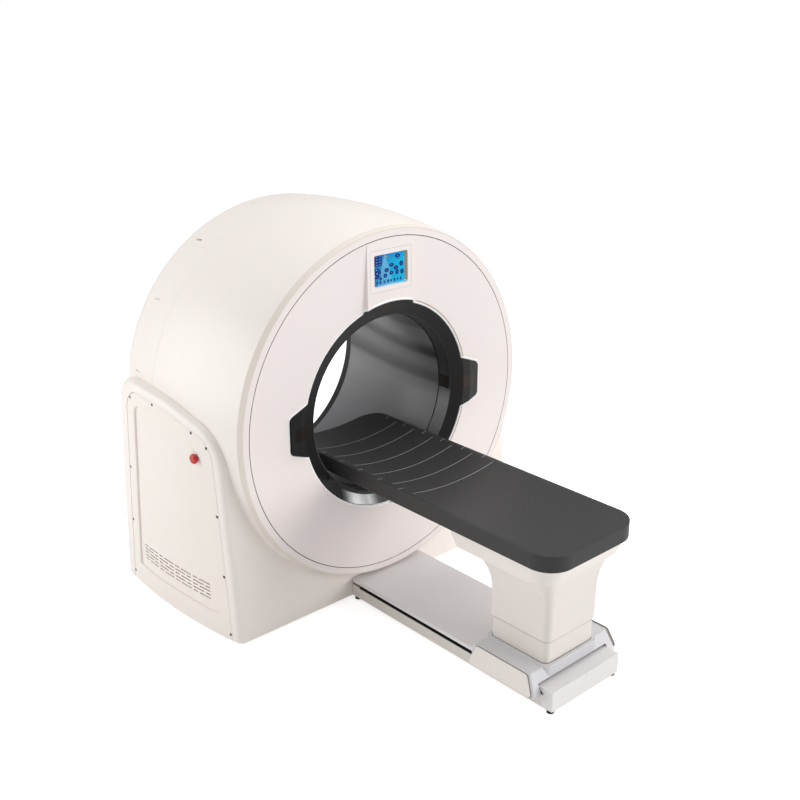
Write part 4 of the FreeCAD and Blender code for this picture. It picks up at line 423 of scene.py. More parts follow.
@dataclass(frozen=True)
class DisplayGlass:
    """Lit display: darker blue at its left, cyan at its right, with a pale beam down its middle."""

    name: str = "backlit_display_glass"
    left: str = "2678B0"
    right: str = "10BCEA"
    high: str = "1868C4"
    beam: str = "A8DCF4"
    half_width_mm: float = 82.0
    top_z_mm: float = 600.0
    low_z_mm: float = 478.0
    beam_x_mm: float = -14.0
    beam_left: float = 0.30          # sideways per unit of height, of the beam's two edges
    beam_right: float = 0.36

    def build(self) -> bpy.types.Material:
        """Make the material.

        Returns:
            A node material on Object coordinates.
        """
        material, tree = new_tree(self.name)
        place = add_node(tree, "ShaderNodeTexCoord").outputs["Object"]
        sides = add_node(tree, "ShaderNodeSeparateXYZ", {}, {"Vector": place})
        across = add_node(tree, "ShaderNodeMapRange", {}, {
            "Value": sides.outputs["X"], "From Min": -self.half_width_mm * MM,
            "From Max": self.half_width_mm * MM, "To Min": 0.0, "To Max": 1.0})
        down = add_node(tree, "ShaderNodeMapRange", {}, {
            "Value": sides.outputs["Z"], "From Min": AXIS_HEIGHT + self.top_z_mm * MM,
            "From Max": AXIS_HEIGHT + self.low_z_mm * MM, "To Min": 0.0, "To Max": 1.0})
        wash = add_node(tree, "ShaderNodeMix", {"data_type": "RGBA"}, {
            0: across.outputs["Result"], 6: linear(self.left), 7: linear(self.right)})
        top_share = add_node(tree, "ShaderNodeMapRange", {"interpolation_type": "SMOOTHSTEP"}, {
            "Value": down.outputs["Result"], "From Min": 0.0, "From Max": 0.35,
            "To Min": 0.55, "To Max": 0.0})
        topped = add_node(tree, "ShaderNodeMix", {"data_type": "RGBA"}, {
            0: top_share.outputs["Result"], 6: wash.outputs[2], 7: linear(self.high)})
        drop = add_node(tree, "ShaderNodeMath", {"operation": "SUBTRACT"}, {
            0: AXIS_HEIGHT + self.top_z_mm * MM, 1: sides.outputs["Z"]})
        inside = None
        for sign, spread in ((-1.0, self.beam_left), (1.0, self.beam_right)):
            edge = add_node(tree, "ShaderNodeMath", {"operation": "MULTIPLY_ADD"}, {
                0: drop.outputs["Value"], 1: spread * sign, 2: self.beam_x_mm * MM})
            gap = add_node(tree, "ShaderNodeMath", {"operation": "SUBTRACT"}, {
                0: edge.outputs["Value"], 1: sides.outputs["X"]})
            side = add_node(tree, "ShaderNodeMapRange", {}, {
                "Value": gap.outputs["Value"], "From Min": 0.0, "From Max": sign * 2.5 * MM,
                "To Min": 0.0, "To Max": 1.0})
            if inside is None:
                inside = side.outputs["Result"]
            else:
                inside = add_node(tree, "ShaderNodeMath", {"operation": "MULTIPLY"}, {
                    0: inside, 1: side.outputs["Result"]}).outputs["Value"]
        fade = add_node(tree, "ShaderNodeMapRange", {}, {
            "Value": down.outputs["Result"], "From Min": 0.0, "From Max": 1.0,
            "To Min": 0.4, "To Max": 0.15})
        beam = add_node(tree, "ShaderNodeMath", {"operation": "MULTIPLY"}, {
            0: inside, 1: fade.outputs["Result"]})
        lit = add_node(tree, "ShaderNodeMix", {"data_type": "RGBA"}, {
            0: beam.outputs["Value"], 6: topped.outputs[2], 7: linear(self.beam)})
        shader = add_node(tree, "ShaderNodeBsdfPrincipled", {}, {
            "Base Color": linear("06080C"), "Roughness": 0.12, "IOR": 1.25,
            "Emission Color": lit.outputs[2], "Emission Strength": 0.95})
        add_node(tree, "ShaderNodeOutputMaterial", {}, {"Surface": shader.outputs["BSDF"]})
        return material


# Satin paint over glass-fibre covers: broad soft highlights and a very fine orange peel.
SHELL = Finish("satin_painted_grp_shell", "F4EDE7", "F0E8E1", 0.4, coat=0.2, coat_roughness=0.25)
# The same paint on the front covers, a little cooler and pinker.
COVER = Finish("satin_painted_front_cover", "F3EAE8", "F0E6E3", 0.4, coat=0.2, coat_roughness=0.25)
# Vacuum-formed ABS: a little warmer and flatter than the painted covers.
PANEL = Finish("vacuum_formed_abs_panel", "F2EAE3", "EEE5DD", 0.42, coat=0.15, coat_roughness=0.25)
# Moulded edge trim: the darkest of the cream pieces, nearly matt.
TRIM = Finish("moulded_edge_trim", "E6DDD3", "E1D7CC", 0.45)
# Smoked polycarbonate: near black with a soft shine, paler over the cover, and painted light at the right
# ear.
SMOKE = SmokedRing("smoked_polycarbonate", "131314", "101011", 0.36, ior=1.36, shine=0.4,
                   grain_mm=2.0)
# The same moulding at the back of the bore, dull and dark.
REAR_RING = Finish("smoked_rear_ring", "0B0B0C", "09090A", 0.5, ior=1.36, shine=0.2, grain_mm=2.0)
# Thermoformed liner, polished: long soft reflections along the bore, painted into its tone.
# The moulded band in front of it: the same polish and painted reflections, dark above the level of the
# axis.
BAND = PaintedReflectionLiner("polished_bore_band_painted_reflections", "3A3A3C", "343436", 0.3, ior=1.42, roughness_spread=0.02,
                   grain_mm=6.0, relief=0.02,
                   bands=((0.0, "3E3E40"), (0.25, "68686A"), (0.36, "868688"), (0.43, "A2A2A4"),
                          (0.46, "88888A"), (0.485, "3A3A3C"), (0.60, "343436"), (0.75, "303032"),
                          (1.0, "2C2C2E")))
LINER = PaintedReflectionLiner("polished_liner_painted_reflections", "4A4A4C", "434345", 0.3, ior=1.42,
                    roughness_spread=0.02, grain_mm=6.0, relief=0.02)
# Polished stainless band: sharp light and dark streaks of painted reflection.
CHROME = PaintedReflectionBand("polished_stainless_band_painted_reflections", "C6C6CA", "BEBEC2", 0.26, metallic=1.0,
                      roughness_spread=0.04, pattern=Pattern.BRUSHED, brush_axis=(0.2, 1.0, 1.0),
                      grain_mm=1.5, relief=0.05)
# Tinted acrylic windows: deep brown with a hard shine, paler at the right ear only as painted light.
WINDOW = SmokedRing("tinted_acrylic_window", "1C1715", "181311", 0.3, ior=1.4, shine=0.3,
                    over_cover="443D37", left_share=0.0)
SCREEN = DisplayGlass()
# Blackened screws: dull dark heads.
SCREW = Finish("blackened_steel_screw", "403C3A", "383432", 0.4, metallic=1.0, grain_mm=1.0)
# Nylon button: saturated red, half gloss.
STOP_RED = Finish("red_nylon_button", "C8141C", "BC1018", 0.32, coat=0.3, grain_mm=1.5)
STOP_GREY = Finish("grey_nylon_collar", "C2BFBB", "BAB7B3", 0.42, grain_mm=1.5)
# Painted welded frame: dull blue-grey paint over mill scale.
FRAME_STEEL = Finish("painted_welded_frame", "747A80", "6A7076", 0.5, grain_mm=4.0, relief=0.2)
# Sand casting under paint: coarse skin.
CAST = Finish("painted_sand_casting", "5A5E64", "52565C", 0.6, pattern=Pattern.CAST, relief=0.4,
              relief_mm=0.2)
# Ground bearing steel: fine turning lines and a bright ring of light.
BEARING = Finish("ground_bearing_steel", "A8A8AA", "9E9EA0", 0.25, metallic=1.0,
                 pattern=Pattern.BRUSHED, brush_axis=(1.0, 0.1, 1.0), grain_mm=1.0)
# Milled aluminium: pale, with faint cutter lines.
ALLOY = Finish("milled_aluminium", "B9BBBD", "B0B2B4", 0.34, metallic=1.0,
               pattern=Pattern.BRUSHED, brush_axis=(0.15, 1.0, 1.0), grain_mm=1.2)
UNIT = Finish("powder_coated_housing", "9A9C9E", "909294", 0.5, grain_mm=1.2, relief=0.3)
BELT = Finish("neoprene_belt", "141414", "1A1A1A", 0.7, grain_mm=1.0, relief=0.3)
FOOT = Finish("moulded_rubber_foot", "161617", "1D1D1E", 0.68, grain_mm=1.5, relief=0.3)
# Powder-coated extrusion and sheet of the rail: a fine dry texture, cooler on top.
RAIL = Finish("powder_coated_rail", "E4DED8", "DDD7D0", 0.5, grain_mm=1.2, relief=0.25)
RAIL_TOP = Finish("powder_coated_rail_cover", "ECE9E9", "E6E3E3", 0.46, grain_mm=1.2, relief=0.25)
COLUMN = Finish("powder_coated_column", "EFE8E2", "EAE2DB", 0.44, grain_mm=1.2, relief=0.2)
# Cooler grey of the saddle casting, which sets it off from the cream plates at its sides: painted shade
# from the tabletop over it.
SADDLE_SHADE = Finish("saddle_casting_painted_shade", "DDDCDF", "D6D5D8", 0.42, grain_mm=1.5, relief=0.2)
# Screws painted over with the column.
PAINTED_SCREW = Finish("painted_over_screw", "DAD2CB", "D0C8C1", 0.4, grain_mm=1.0)
# Resin over carbon cloth: charcoal and dull, its 2 mm twill drawn at 3 mm, faint under the resin.
CARBON = Finish("carbon_tabletop_skin", "383737", "323130", 0.5, roughness_spread=0.015, ior=1.42,
                pattern=Pattern.WOVEN, grain_mm=3.0, relief=0.02, relief_mm=0.05)
PAD = Finish("white_acetal_pad", "E2E2DC", "DADAD4", 0.45)
# Extruded seals and lacquered joint lines; the black seal is also painted shade in the rail and on the
# screw heads, and the pale sealant painted shade round the lifting recesses and under the sleeve.
SEAL_AND_SHADE = Finish("black_seal_and_painted_shade", "1C1B1B", "171616", 0.55, grain_mm=1.0, relief=0.2)
JOINT = Finish("grey_joint_sealant", "5A5552", "524D4A", 0.55, grain_mm=1.5, relief=0.2)
PANEL_JOINT = Finish("dark_panel_gasket", "3A3633", "332F2D", 0.6, grain_mm=1.5, relief=0.2)
FAINT_JOINT_AND_SHADE = Finish("pale_joint_sealant_and_painted_shade", "A8A29D", "A09A95", 0.5, grain_mm=1.5, relief=0.2)
# Pure white, paler than the cream covers: painted highlight, on the lip round the bore's opening and on
# the display well's ledge.
LIP_HIGHLIGHT = Finish("white_cover_lip_painted_highlight", "FFFFFF", "FCFAF8", 0.3, grain_mm=2.0)
# Beige line outside that lip in the right half of the opening: painted shadow of the lip.
LIP_SHADOW = Finish("beige_painted_lip_shadow", "B7A491", "AF9B87", 0.5, grain_mm=2.0)
MARK = Finish("printed_table_mark", "A3A4A6", "97989A", 0.5, grain_mm=1.0, relief=0.15)
KEY_BLUE = Glow("display_dark_blue", "043484")
KEY_CYAN = Glow("display_cyan", "58C4EA")
KEY_PALE = Glow("display_pale_key", "5C98CC")
# Beige lining of the well, matt, darker than the bezel's cream: painted shade on the well's walls.
WELL_SHADE = Finish("matt_beige_well_painted_shade", "DCC2A4", "D2B99C", 0.7, grain_mm=2.0)
KEY_YELLOW = Glow("display_yellow_sign", "D9B32C")

DRESS = {
    SHELL: ("front_shell", "rear_shell", "rear_cover", "table_tray"),
    COVER: ("front_cover", "front_rim", "display_bezel"),
    PANEL: ("side_panel_left", "side_panel_right"),
    TRIM: ("rim_trim",),
    SMOKE: ("bore_front_ring",),
    BAND: ("bore_band",),
    LINER: ("bore_liner",),
    CHROME: ("bore_lower_trim",),
    WINDOW: ("laser_windows",),
    SCREEN: ("display_screen",),
    SCREW: ("panel_screws",),
    PAINTED_SCREW: ("sleeve_screws",),
    STOP_RED: ("stop_head",),
    STOP_GREY: ("stop_collar",),
    FRAME_STEEL: ("base_frame",),
    CAST: ("bearing_carrier", "counterweight"),
    BEARING: ("bearing_outer", "bearing_inner", "guide_rails", "guide_blocks", "motor_pulley",
              "lift_rod"),
    ALLOY: ("rotor_frame", "slip_ring", "detector_arc"),
    UNIT: ("brush_block", "drive_motor", "power_unit", "cooling_unit", "xray_tube", "collimator",
           "high_voltage_tank", "lift_actuator"),
    BELT: ("drive_belt",),
    REAR_RING: ("rear_bore_ring",),
    FOOT: ("gantry_feet", "rail_feet"),
    RAIL: ("rail_body",),
    RAIL_TOP: ("rail_top_cover", "end_block"),
    COLUMN: ("saddle_side_plates", "lower_column", "column_sleeve"),
    SADDLE_SHADE: ("carriage_saddle",),
    CARBON: ("tabletop",),
    PAD: ("glide_pads",),
}


@lru_cache(maxsize=None)
def material_of(finish: Finish | Glow | DisplayGlass) -> bpy.types.Material:
    """The material of a finish, made once."""
    return finish.build()


def dress_nodes() -> None:
    """Give every CAD node its finish, in the node object's own material slot."""
    for finish, names in DRESS.items():
        material = material_of(finish)
        for name in names:
            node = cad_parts[name]
            node.data.materials.clear()
            node.data.materials.append(material)
        LOG.info("%s on %s", finish.name, ", ".join(names))


# --------------------------------------------------------------------------------------------
# Making and placing pieces
# --------------------------------------------------------------------------------------------

def add_piece(name: str, mesh: bpy.types.Mesh, finishes: list, body: str,
              sharp: float = 40.0) -> bpy.types.Object:
    """Turn a mesh to a piece of the machine.

    Args:
        name: the piece's name.
        mesh: its mesh, in the row frame.
        finishes: one finish for each of the mesh's material numbers.
        body: CAD body that it moves with.
        sharp: angle in degrees over which an edge stays crisp.

    Returns:
        The new object.
    """
    for face in mesh.polygons:
        face.use_smooth = True
    mesh.set_sharp_from_angle(angle=math.radians(sharp))
    for finish in finishes:
        mesh.materials.append(material_of(finish))
    piece = bpy.data.objects.new(name, mesh)
    bpy.context.scene.collection.objects.link(piece)
    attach(piece, body)
    LOG.info("%s: %d faces on %s", name, len(mesh.polygons), body)
    return piece


def mesh_of(name: str, shape: bmesh.types.BMesh, place: Matrix | None = None) -> bpy.types.Mesh:
    """Close a bmesh into a mesh with its faces outwards.

    Args:
        name: the mesh's name.
        shape: the bmesh, which is freed.
        place: where it goes, applied to its vertices.

    Returns:
        The mesh.
    """
    if place is not None:
        bmesh.ops.transform(shape, matrix=place, verts=shape.verts)
    bmesh.ops.remove_doubles(shape, verts=shape.verts, dist=0.002 * MM)
    bmesh.ops.recalc_face_normals(shape, faces=shape.faces)
    mesh = bpy.data.meshes.new(name)
    shape.to_mesh(mesh)
    shape.free()
    return mesh


def turned_shape(profile: list[tuple[float, float]], steps: int) -> bmesh.types.BMesh:
    """Spin a profile once round its own Z axis.

    Args:
        profile: radius and height of each point, in millimetres.
        steps: how many steps the turn takes.

    Returns:
        The turned shape, in metres.
    """
    shape = bmesh.new()
    verts = [shape.verts.new((radius * MM, 0.0, height * MM)) for radius, height in profile]
    edges = [shape.edges.new(pair) for pair in zip(verts, verts[1:])]
    bmesh.ops.spin(shape, geom=verts + edges, cent=(0.0, 0.0, 0.0), axis=(0.0, 0.0, 1.0),
                   angle=2 * math.pi, steps=steps, use_merge=True)
    bmesh.ops.remove_doubles(shape, verts=shape.verts, dist=0.002 * MM)
    return shape


class Skin:
    """A CAD node's surface, for finding points and crisp edges on it."""

    def __init__(self, node: str) -> None:
        """Copy a node's mesh and join its loose triangles.

        Args:
            node: the CAD node's name.
        """
        self.shape = bmesh.new()
        self.shape.from_mesh(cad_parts[node].data)
        bmesh.ops.remove_doubles(self.shape, verts=self.shape.verts, dist=0.01 * MM)
        self.shape.normal_update()
        self.tree = BVHTree.FromBMesh(self.shape)

    def meet(self, start: Vector, along: Vector) -> Vector | None:
        """First point that a ray meets, or None."""
        return self.tree.ray_cast(start, along.normalized())[0]

    def islands(self) -> list[list[bmesh.types.BMFace]]:
        """The separate solids of the node.

        Returns:
            The faces of each.
        """
        left = set(self.shape.faces)
        found = []
        while left:
            front = [left.pop()]
            island = list(front)
            while front:
                face = front.pop()
                for edge in face.edges:
                    for other in edge.link_faces:
                        if other in left:
                            left.remove(other)
                            front.append(other)
                            island.append(other)
            found.append(island)
        return found

    def rims(self, outward: Vector, facing: float = 0.8, wall: float = 0.35) -> list[list[Vector]]:
        """Closed loops of edges where a face that looks outward ends in a wall.

        Args:
            outward: unit direction.
            facing: least share of outward in the face's normal.
            wall: most share of it in the wall's normal.

        Returns:
            The loops' points, longest loop first.
        """
        left = set()
        for edge in self.shape.edges:
            if len(edge.link_faces) == 2:
                low, high = sorted(face.normal.dot(outward) for face in edge.link_faces)
                if low < wall and high > facing:
                    left.add(edge)
        loops = []
        while left:
            edge = left.pop()
            first, vert = edge.verts
            loop = [first.co.copy()]
            onward = [edge]
            while vert is not first and onward:
                loop.append(vert.co.copy())
                onward = [other for other in vert.link_edges if other in left]
                if onward:
                    left.remove(onward[0])
                    vert = onward[0].other_vert(vert)
            if vert is first:
                loops.append(loop)
        return sorted(loops, key=run_length, reverse=True)


def run_length(points: list[Vector]) -> float:
    """Length of a closed run of points."""
    return sum((a - b).length for a, b in zip(points, points[1:] + points[:1]))


def spaced(points: list[Vector], step: float) -> list[Vector]:
    """Drop the points of a run that stand closer together than a step.

    Args:
        points: the run.
        step: least distance in metres.

    Returns:
        The thinned run.
    """
    kept = [points[0]]
    for point in points[1:]:
        if (point - kept[-1]).length >= step:
            kept.append(point)
    return kept


@dataclass
class Bead:
    """A round line of seal or sealant that lies in a joint, or of painted highlight or shade along an
    edge.
    """

    name: str
    radius: float                    # millimetres
    proud: float                     # how far it stands out of the joint, in millimetres
    finish: Finish
    slot: str
    body: str = "gantry"
    rounds: int = 2                  # bevel resolution

    def build(self, runs: list[list[Vector]], away: Vector, closed: bool = True) -> bpy.types.Object:
        """Lay the bead along its runs.

        Args:
            runs: points of each run, on the surface.
            away: unit direction out of the surface.
            closed: whether each run comes back to its start.

        Returns:
            The piece.
        """
        curve = bpy.data.curves.new(self.name, "CURVE")
        curve.dimensions = "3D"
        curve.bevel_depth = self.radius * MM
        curve.bevel_resolution = self.rounds
        curve.use_fill_caps = not closed
        sunk = away * ((self.radius - self.proud) * MM)
        low = CAD_BOX[0] + Vector((1.0, 1.0, 1.0)) * (self.radius * MM)
        high = CAD_BOX[1] - Vector((1.0, 1.0, 1.0)) * (self.radius * MM)
        for run in runs:
            places = spaced(run, 0.5 * MM)
            spline = curve.splines.new("POLY")
            spline.points.add(len(places) - 1)
            for point, place in zip(spline.points, places):
                laid = place - sunk
                inside = [min(max(value, lo), hi) for value, lo, hi in zip(laid, low, high)]
                point.co = (*inside, 1.0)
            spline.use_cyclic_u = closed
        carrier = bpy.data.objects.new(self.name + "_line", curve)
        bpy.context.scene.collection.objects.link(carrier)
        settled = carrier.evaluated_get(bpy.context.evaluated_depsgraph_get())
        mesh = bpy.data.meshes.new_from_object(settled)
        mesh.materials.clear()
        mesh.name = self.name
        bpy.data.objects.remove(carrier)
        bpy.data.curves.remove(curve)
        return add_piece(self.name, mesh, [self.finish], self.body)


# --------------------------------------------------------------------------------------------
# Gantry covers
# --------------------------------------------------------------------------------------------

@dataclass
class FrontFace:
    """Seals and lips of the dished front cover and the bore's front ring."""

    groove_radius: float = 659.38    # middle of the groove between the rim and the cover
    groove_seal: float = 1.5
    groove_seal_y: float = 1.9
    window_radius: float = 351.2
    window_half: float = 26.0
    window_y: tuple[float, float] = (42.0, 94.0)
    lip: float = 4.4                 # radius of the bead that makes the pale lip, its white a painted highlight
    lip_gap: float = 5.6             # from the seam to its middle line
    groove: float = 3.4              # radius of the painted shadow bead outside the lip
    lip_shadow_gap: float = 12.0         # from the seam to its middle line
    lip_shadow_reach: float = 418.0      # radius beyond which the outline belongs to an ear or the crown
    steps: int = 360

    def round_seal(self, name: str, radius: float, y: float, thick: float) -> None:
        """Seal of round section that runs right round the bore axis.

        Args:
            name: the piece's name.
            radius: of its middle line, in millimetres.
            y: its station.
            thick: radius of its section.
        """
        shape = bmesh.new()
        seat = Matrix.Translation((radius * MM, 0.0, 0.0))
        stand = Matrix.Rotation(math.pi / 2, 4, "X")
        made = bmesh.ops.create_circle(shape, segments=8, radius=thick * MM, matrix=seat @ stand)
        ring = made["verts"] + list({edge for vert in made["verts"] for edge in vert.link_edges})
        bmesh.ops.spin(shape, geom=ring, cent=(0.0, 0.0, 0.0), axis=(0.0, 0.0, 1.0),
                       angle=2 * math.pi, steps=self.steps, use_merge=True)
        place = Matrix.Translation(machine(0.0, y, 0.0)) @ stand
        add_piece(name, mesh_of(name, shape, place), [SEAL_AND_SHADE], "gantry")

    def inner_window(self) -> None:
        """Tinted window over the dark band, in line with each ear's window."""
        shape = bmesh.new()
        wide = self.window_y[1] - self.window_y[0]
        for side in (0.0, math.pi):
            place = Matrix.Diagonal((wide / 2 * MM, self.window_half * MM, 1.0, 1.0))
            made = bmesh.ops.create_grid(shape, x_segments=1, y_segments=12, size=1.0, matrix=place)
            faces = list({face for vert in made["verts"] for face in vert.link_faces})
            for vert in made["verts"]:
                angle = side + vert.co.y / (self.window_radius * MM)
                depth = vert.co.x
                vert.co.x = math.cos(angle) * self.window_radius * MM
                vert.co.z = math.sin(angle) * self.window_radius * MM
                vert.co.y = depth
            bmesh.ops.recalc_face_normals(shape, faces=faces)
            bmesh.ops.solidify(shape, geom=faces, thickness=0.8 * MM)
        place = Matrix.Translation(machine(0.0, sum(self.window_y) / 2, 0.0))
        add_piece("inner_laser_windows", mesh_of("inner_laser_windows", shape, place), [WINDOW],
                  "gantry")

    def ring_seal(self) -> None:
        """Black seal between the smoked ring, with its ears and crown, and the cover, with the lip's
        painted highlight and the painted shadow beside it.
        """
        skin = Skin("front_cover")
        loops = [loop for loop in skin.rims(TO_FRONT)
                 if 390.0 * MM < max(abs(point.x) for point in loop) < 500.0 * MM]
        seam = loops[0]
        Bead("bore_ring_seal", 2.0, 1.0, SEAL_AND_SHADE, "belt_black").build([seam], TO_FRONT)
        centre = machine(0.0, 0.0, 0.0)
        # Raised white lip round the seal, its white a painted highlight.
        Bead("bore_opening_lip", self.lip, 2.4, LIP_HIGHLIGHT, "cover_cream").build(
            [self.moved_out(skin, seam, centre, self.lip_gap)], TO_FRONT)
        # Beige bead beside the lip in the right half only: painted shadow.
        Bead("bore_opening_lip_shadow", self.groove, 0.8, LIP_SHADOW, "trim_beige").build(
            self.shaded_right_arcs(self.moved_out(skin, seam, centre, self.lip_shadow_gap), centre), TO_FRONT,
            closed=False)

    def shaded_right_arcs(self, loop: list[Vector], centre: Vector) -> list[list[Vector]]:
        """The round stretches of an outline in its right half, without its ear, where the lip's painted
        shadow lies.

        Args:
            loop: the outline's points.
            centre: a point on the bore axis.

        Returns:
            One run of points for each stretch.
        """
        kept = [point.x > centre.x and (point - centre).length < self.lip_shadow_reach * MM
                for point in loop]
        start = next(index for index, keep in enumerate(kept) if not keep)
        arcs: list[list[Vector]] = [[]]
        for point, keep in zip(loop[start:] + loop[:start], kept[start:] + kept[:start]):
            if keep:
                arcs[-1].append(point)
            elif arcs[-1]:
                arcs.append([])
        return [arc for arc in arcs if len(arc) > 3]

    def moved_out(self, skin: Skin, loop: list[Vector], centre: Vector,
                  gap: float) -> list[Vector]:
        """Widen a closed outline and lay it on the cover.

        Args:
            skin: the cover's surface.
            loop: its points, in a plane across the bore.
            centre: a point inside it.
            gap: how far it moves, in millimetres.

        Returns:
            The shifted points.
        """
        loop = spaced(loop, 1.0 * MM)
        moved = []
        for index, point in enumerate(loop):
            along = (loop[(index + 1) % len(loop)] - loop[index - 1]).normalized()
            out = Vector((along.z, 0.0, -along.x)).normalized()
            if out.dot(point - centre) < 0.0:
                out.negate()
            wide = point + out * (gap * MM)
            moved.append(skin.meet(wide + TO_FRONT * 0.1, TO_BACK) or wide)
        return moved

    def build(self) -> None:
        """Make the groove's seal, the ring's seal, the pale lip round it with its painted highlight, and
        the lip's painted shadow.
        """
        self.round_seal("cover_groove_seal", self.groove_radius, self.groove_seal_y,
                        self.groove_seal)
        self.round_seal("ring_inner_seal", 354.2, 33.0, 1.4)
        self.round_seal("liner_joint_seal", 350.6, 99.2, 1.6)
        self.ring_seal()
        self.inner_window()


@dataclass
class Display:
    """Operator display in the raised column: groove round its frame and the lit keys."""

    centre: tuple[float, float, float] = (0.0, -2.77, 539.0)
    lean: float = 1.0465             # degrees, top backwards
    glass_depth: float = 20.3
    width: float = 165.0
    height: float = 122.0
    corner: float = 8.0
    chip_thick: float = 0.4
    # Place across and down the glass as shares of its size, then width and height in millimetres.
    ovals: tuple[tuple[float, float, float, float], ...] = (
        (0.80, 0.17, 26.0, 15.0), (0.62, 0.42, 22.0, 15.0), (0.91, 0.43, 20.0, 19.0),
        (0.75, 0.53, 24.0, 16.0), (0.47, 0.55, 22.0, 16.0), (0.93, 0.68, 18.0, 19.0),
        (0.61, 0.66, 20.0, 15.0), (0.78, 0.67, 18.0, 19.0), (0.43, 0.71, 19.0, 16.0),
        (0.29, 0.78, 13.0, 12.0),
    )
    row_across: tuple[float, ...] = (0.08, 0.18, 0.28, 0.40, 0.51, 0.60, 0.70, 0.80, 0.89)
    row_down: float = 0.89
    dial: tuple[float, float] = (0.18, 0.60)

    def place(self) -> Matrix:
        """Frame of the glass in metres: x right, z up, y into the machine."""
        turn = Matrix.Rotation(math.radians(-self.lean), 4, "X")
        return Matrix.Translation(machine(*self.centre)) @ turn

    def chip(self, shape: bmesh.types.BMesh, across: float, down: float, wide: float, tall: float,
             sides: int, number: int, lift: float = 0.0) -> None:
        """Add one flat key with sloping edges.

        Args:
            shape: bmesh that takes it.
            across: place from the left, as a share of the width.
            down: place from the top, as a share of the height.
            wide: its width in millimetres.
            tall: its height in millimetres.
            sides: number of sides of its outline.
            number: its material number.
            lift: how far in front of the glass it stands, in millimetres.
        """
        spot = Vector(((across - 0.5) * self.width * MM,
                       (self.glass_depth - lift - self.chip_thick / 2) * MM,
                       (0.5 - down) * self.height * MM))
        reach = math.sqrt(2) / 2 if sides == 4 else 0.5
        turn = Matrix.Rotation(math.pi / 4 if sides == 4 else math.pi / 2, 4, "Z")
        size = Matrix.Diagonal((wide * MM, tall * MM, self.chip_thick * MM, 1.0))
        stand = Matrix.Rotation(math.pi / 2, 4, "X")
        made = bmesh.ops.create_cone(shape, cap_ends=True, cap_tris=False, segments=sides,
                                     radius1=reach * 0.94, radius2=reach, depth=1.0,
                                     matrix=Matrix.Translation(spot) @ stand @ size @ turn)
        for face in {face for vert in made["verts"] for face in vert.link_faces}:
            face.material_index = number

    def keys(self) -> None:
        """Round keys, the dial, the small row, the key grid and the sign."""
        shape = bmesh.new()
        for across, down, wide, tall in self.ovals:
            self.chip(shape, across, down, wide, tall, 20, 0)
            self.chip(shape, across, down, wide * 0.16, tall * 0.16, 12, 1, self.chip_thick)
        for index, across in enumerate(self.row_across):
            self.chip(shape, across, self.row_down, 9.0, 12.0 - 3.0 * (index % 2), 12, 0)
        across, down = self.dial
        self.chip(shape, across, down, 40.0, 40.0, 32, 0)
        self.chip(shape, across, down, 26.0, 26.0, 28, 2, self.chip_thick)
        self.chip(shape, across, down, 24.6, 24.6, 28, 0, self.chip_thick * 2)
        self.chip(shape, across, down, 6.0, 6.0, 12, 1, self.chip_thick * 3)
        for angle in (0.4, 2.5, 4.6):
            self.chip(shape, across + 0.085 * math.cos(angle), down + 0.115 * math.sin(angle),
                      5.0, 5.0, 12, 1, self.chip_thick * 3)
        self.chip(shape, 0.19, 0.22, 46.0, 42.0, 4, 0)
        for row in range(4):
            for column in range(3):
                self.chip(shape, 0.09 + 0.09 * column, 0.09 + 0.085 * row, 7.5, 3.4, 4, 2,
                          self.chip_thick)
        self.chip(shape, 0.82, 0.26, 20.0, 2.2, 4, 0)
        self.chip(shape, 0.47, 0.13, 9.0, 9.0, 3, 3)
        add_piece("display_keys", mesh_of("display_keys", shape, self.place()),
                  [KEY_BLUE, KEY_CYAN, KEY_PALE, KEY_YELLOW], "gantry")

    def lining(self) -> None:
        """Thin lining of the well, beige at its sides and top as painted shade and white along its ledge
        as painted highlight.
        """
        shape = bmesh.new()
        half = Matrix.Diagonal((self.width / 2 * MM, self.height / 2 * MM, 1.0, 1.0))
        stand = Matrix.Rotation(math.pi / 2, 4, "X")
        made = bmesh.ops.create_grid(shape, x_segments=1, y_segments=1, size=1.0,
                                     matrix=stand @ half)
        bmesh.ops.bevel(shape, geom=made["verts"], offset=self.corner * MM, affect="VERTICES",
                        segments=6, profile=0.5, material=-1)
        rim = [edge for edge in shape.edges if edge.is_boundary]
        walls = bmesh.ops.extrude_edge_only(shape, edges=rim)
        deep = [item for item in walls["geom"] if isinstance(item, bmesh.types.BMVert)]
        bmesh.ops.translate(shape, verts=deep, vec=(0.0, (self.glass_depth - 0.4) * MM, 0.0))
        caps = [face for face in shape.faces if abs(face.normal.y) > 0.9]
        bmesh.ops.delete(shape, geom=caps, context="FACES_ONLY")
        bmesh.ops.recalc_face_normals(shape, faces=shape.faces)
        bmesh.ops.solidify(shape, geom=shape.faces[:], thickness=0.8 * MM)
        # Low faces, the ledge, take the white painted highlight; the rest the beige painted shade.
        for face in shape.faces:
            low = face.calc_center_median().z < -(self.height / 2 - self.corner) * MM
            face.material_index = 1 if low else 0
        add_piece("display_well_painted_shade", mesh_of("display_well_painted_shade", shape, self.place()),
                  [WELL_SHADE, LIP_HIGHLIGHT], "gantry")

    def build(self) -> None:
        """Make the groove round the frame, the painted shade lining of its well and the keys."""
        outline = Skin("display_bezel").rims(TO_FRONT)[0]
        Bead("display_frame_joint", 2.0, 0.2, FAINT_JOINT_AND_SHADE, "trim_beige").build([outline], TO_FRONT)
        self.lining()
        self.keys()


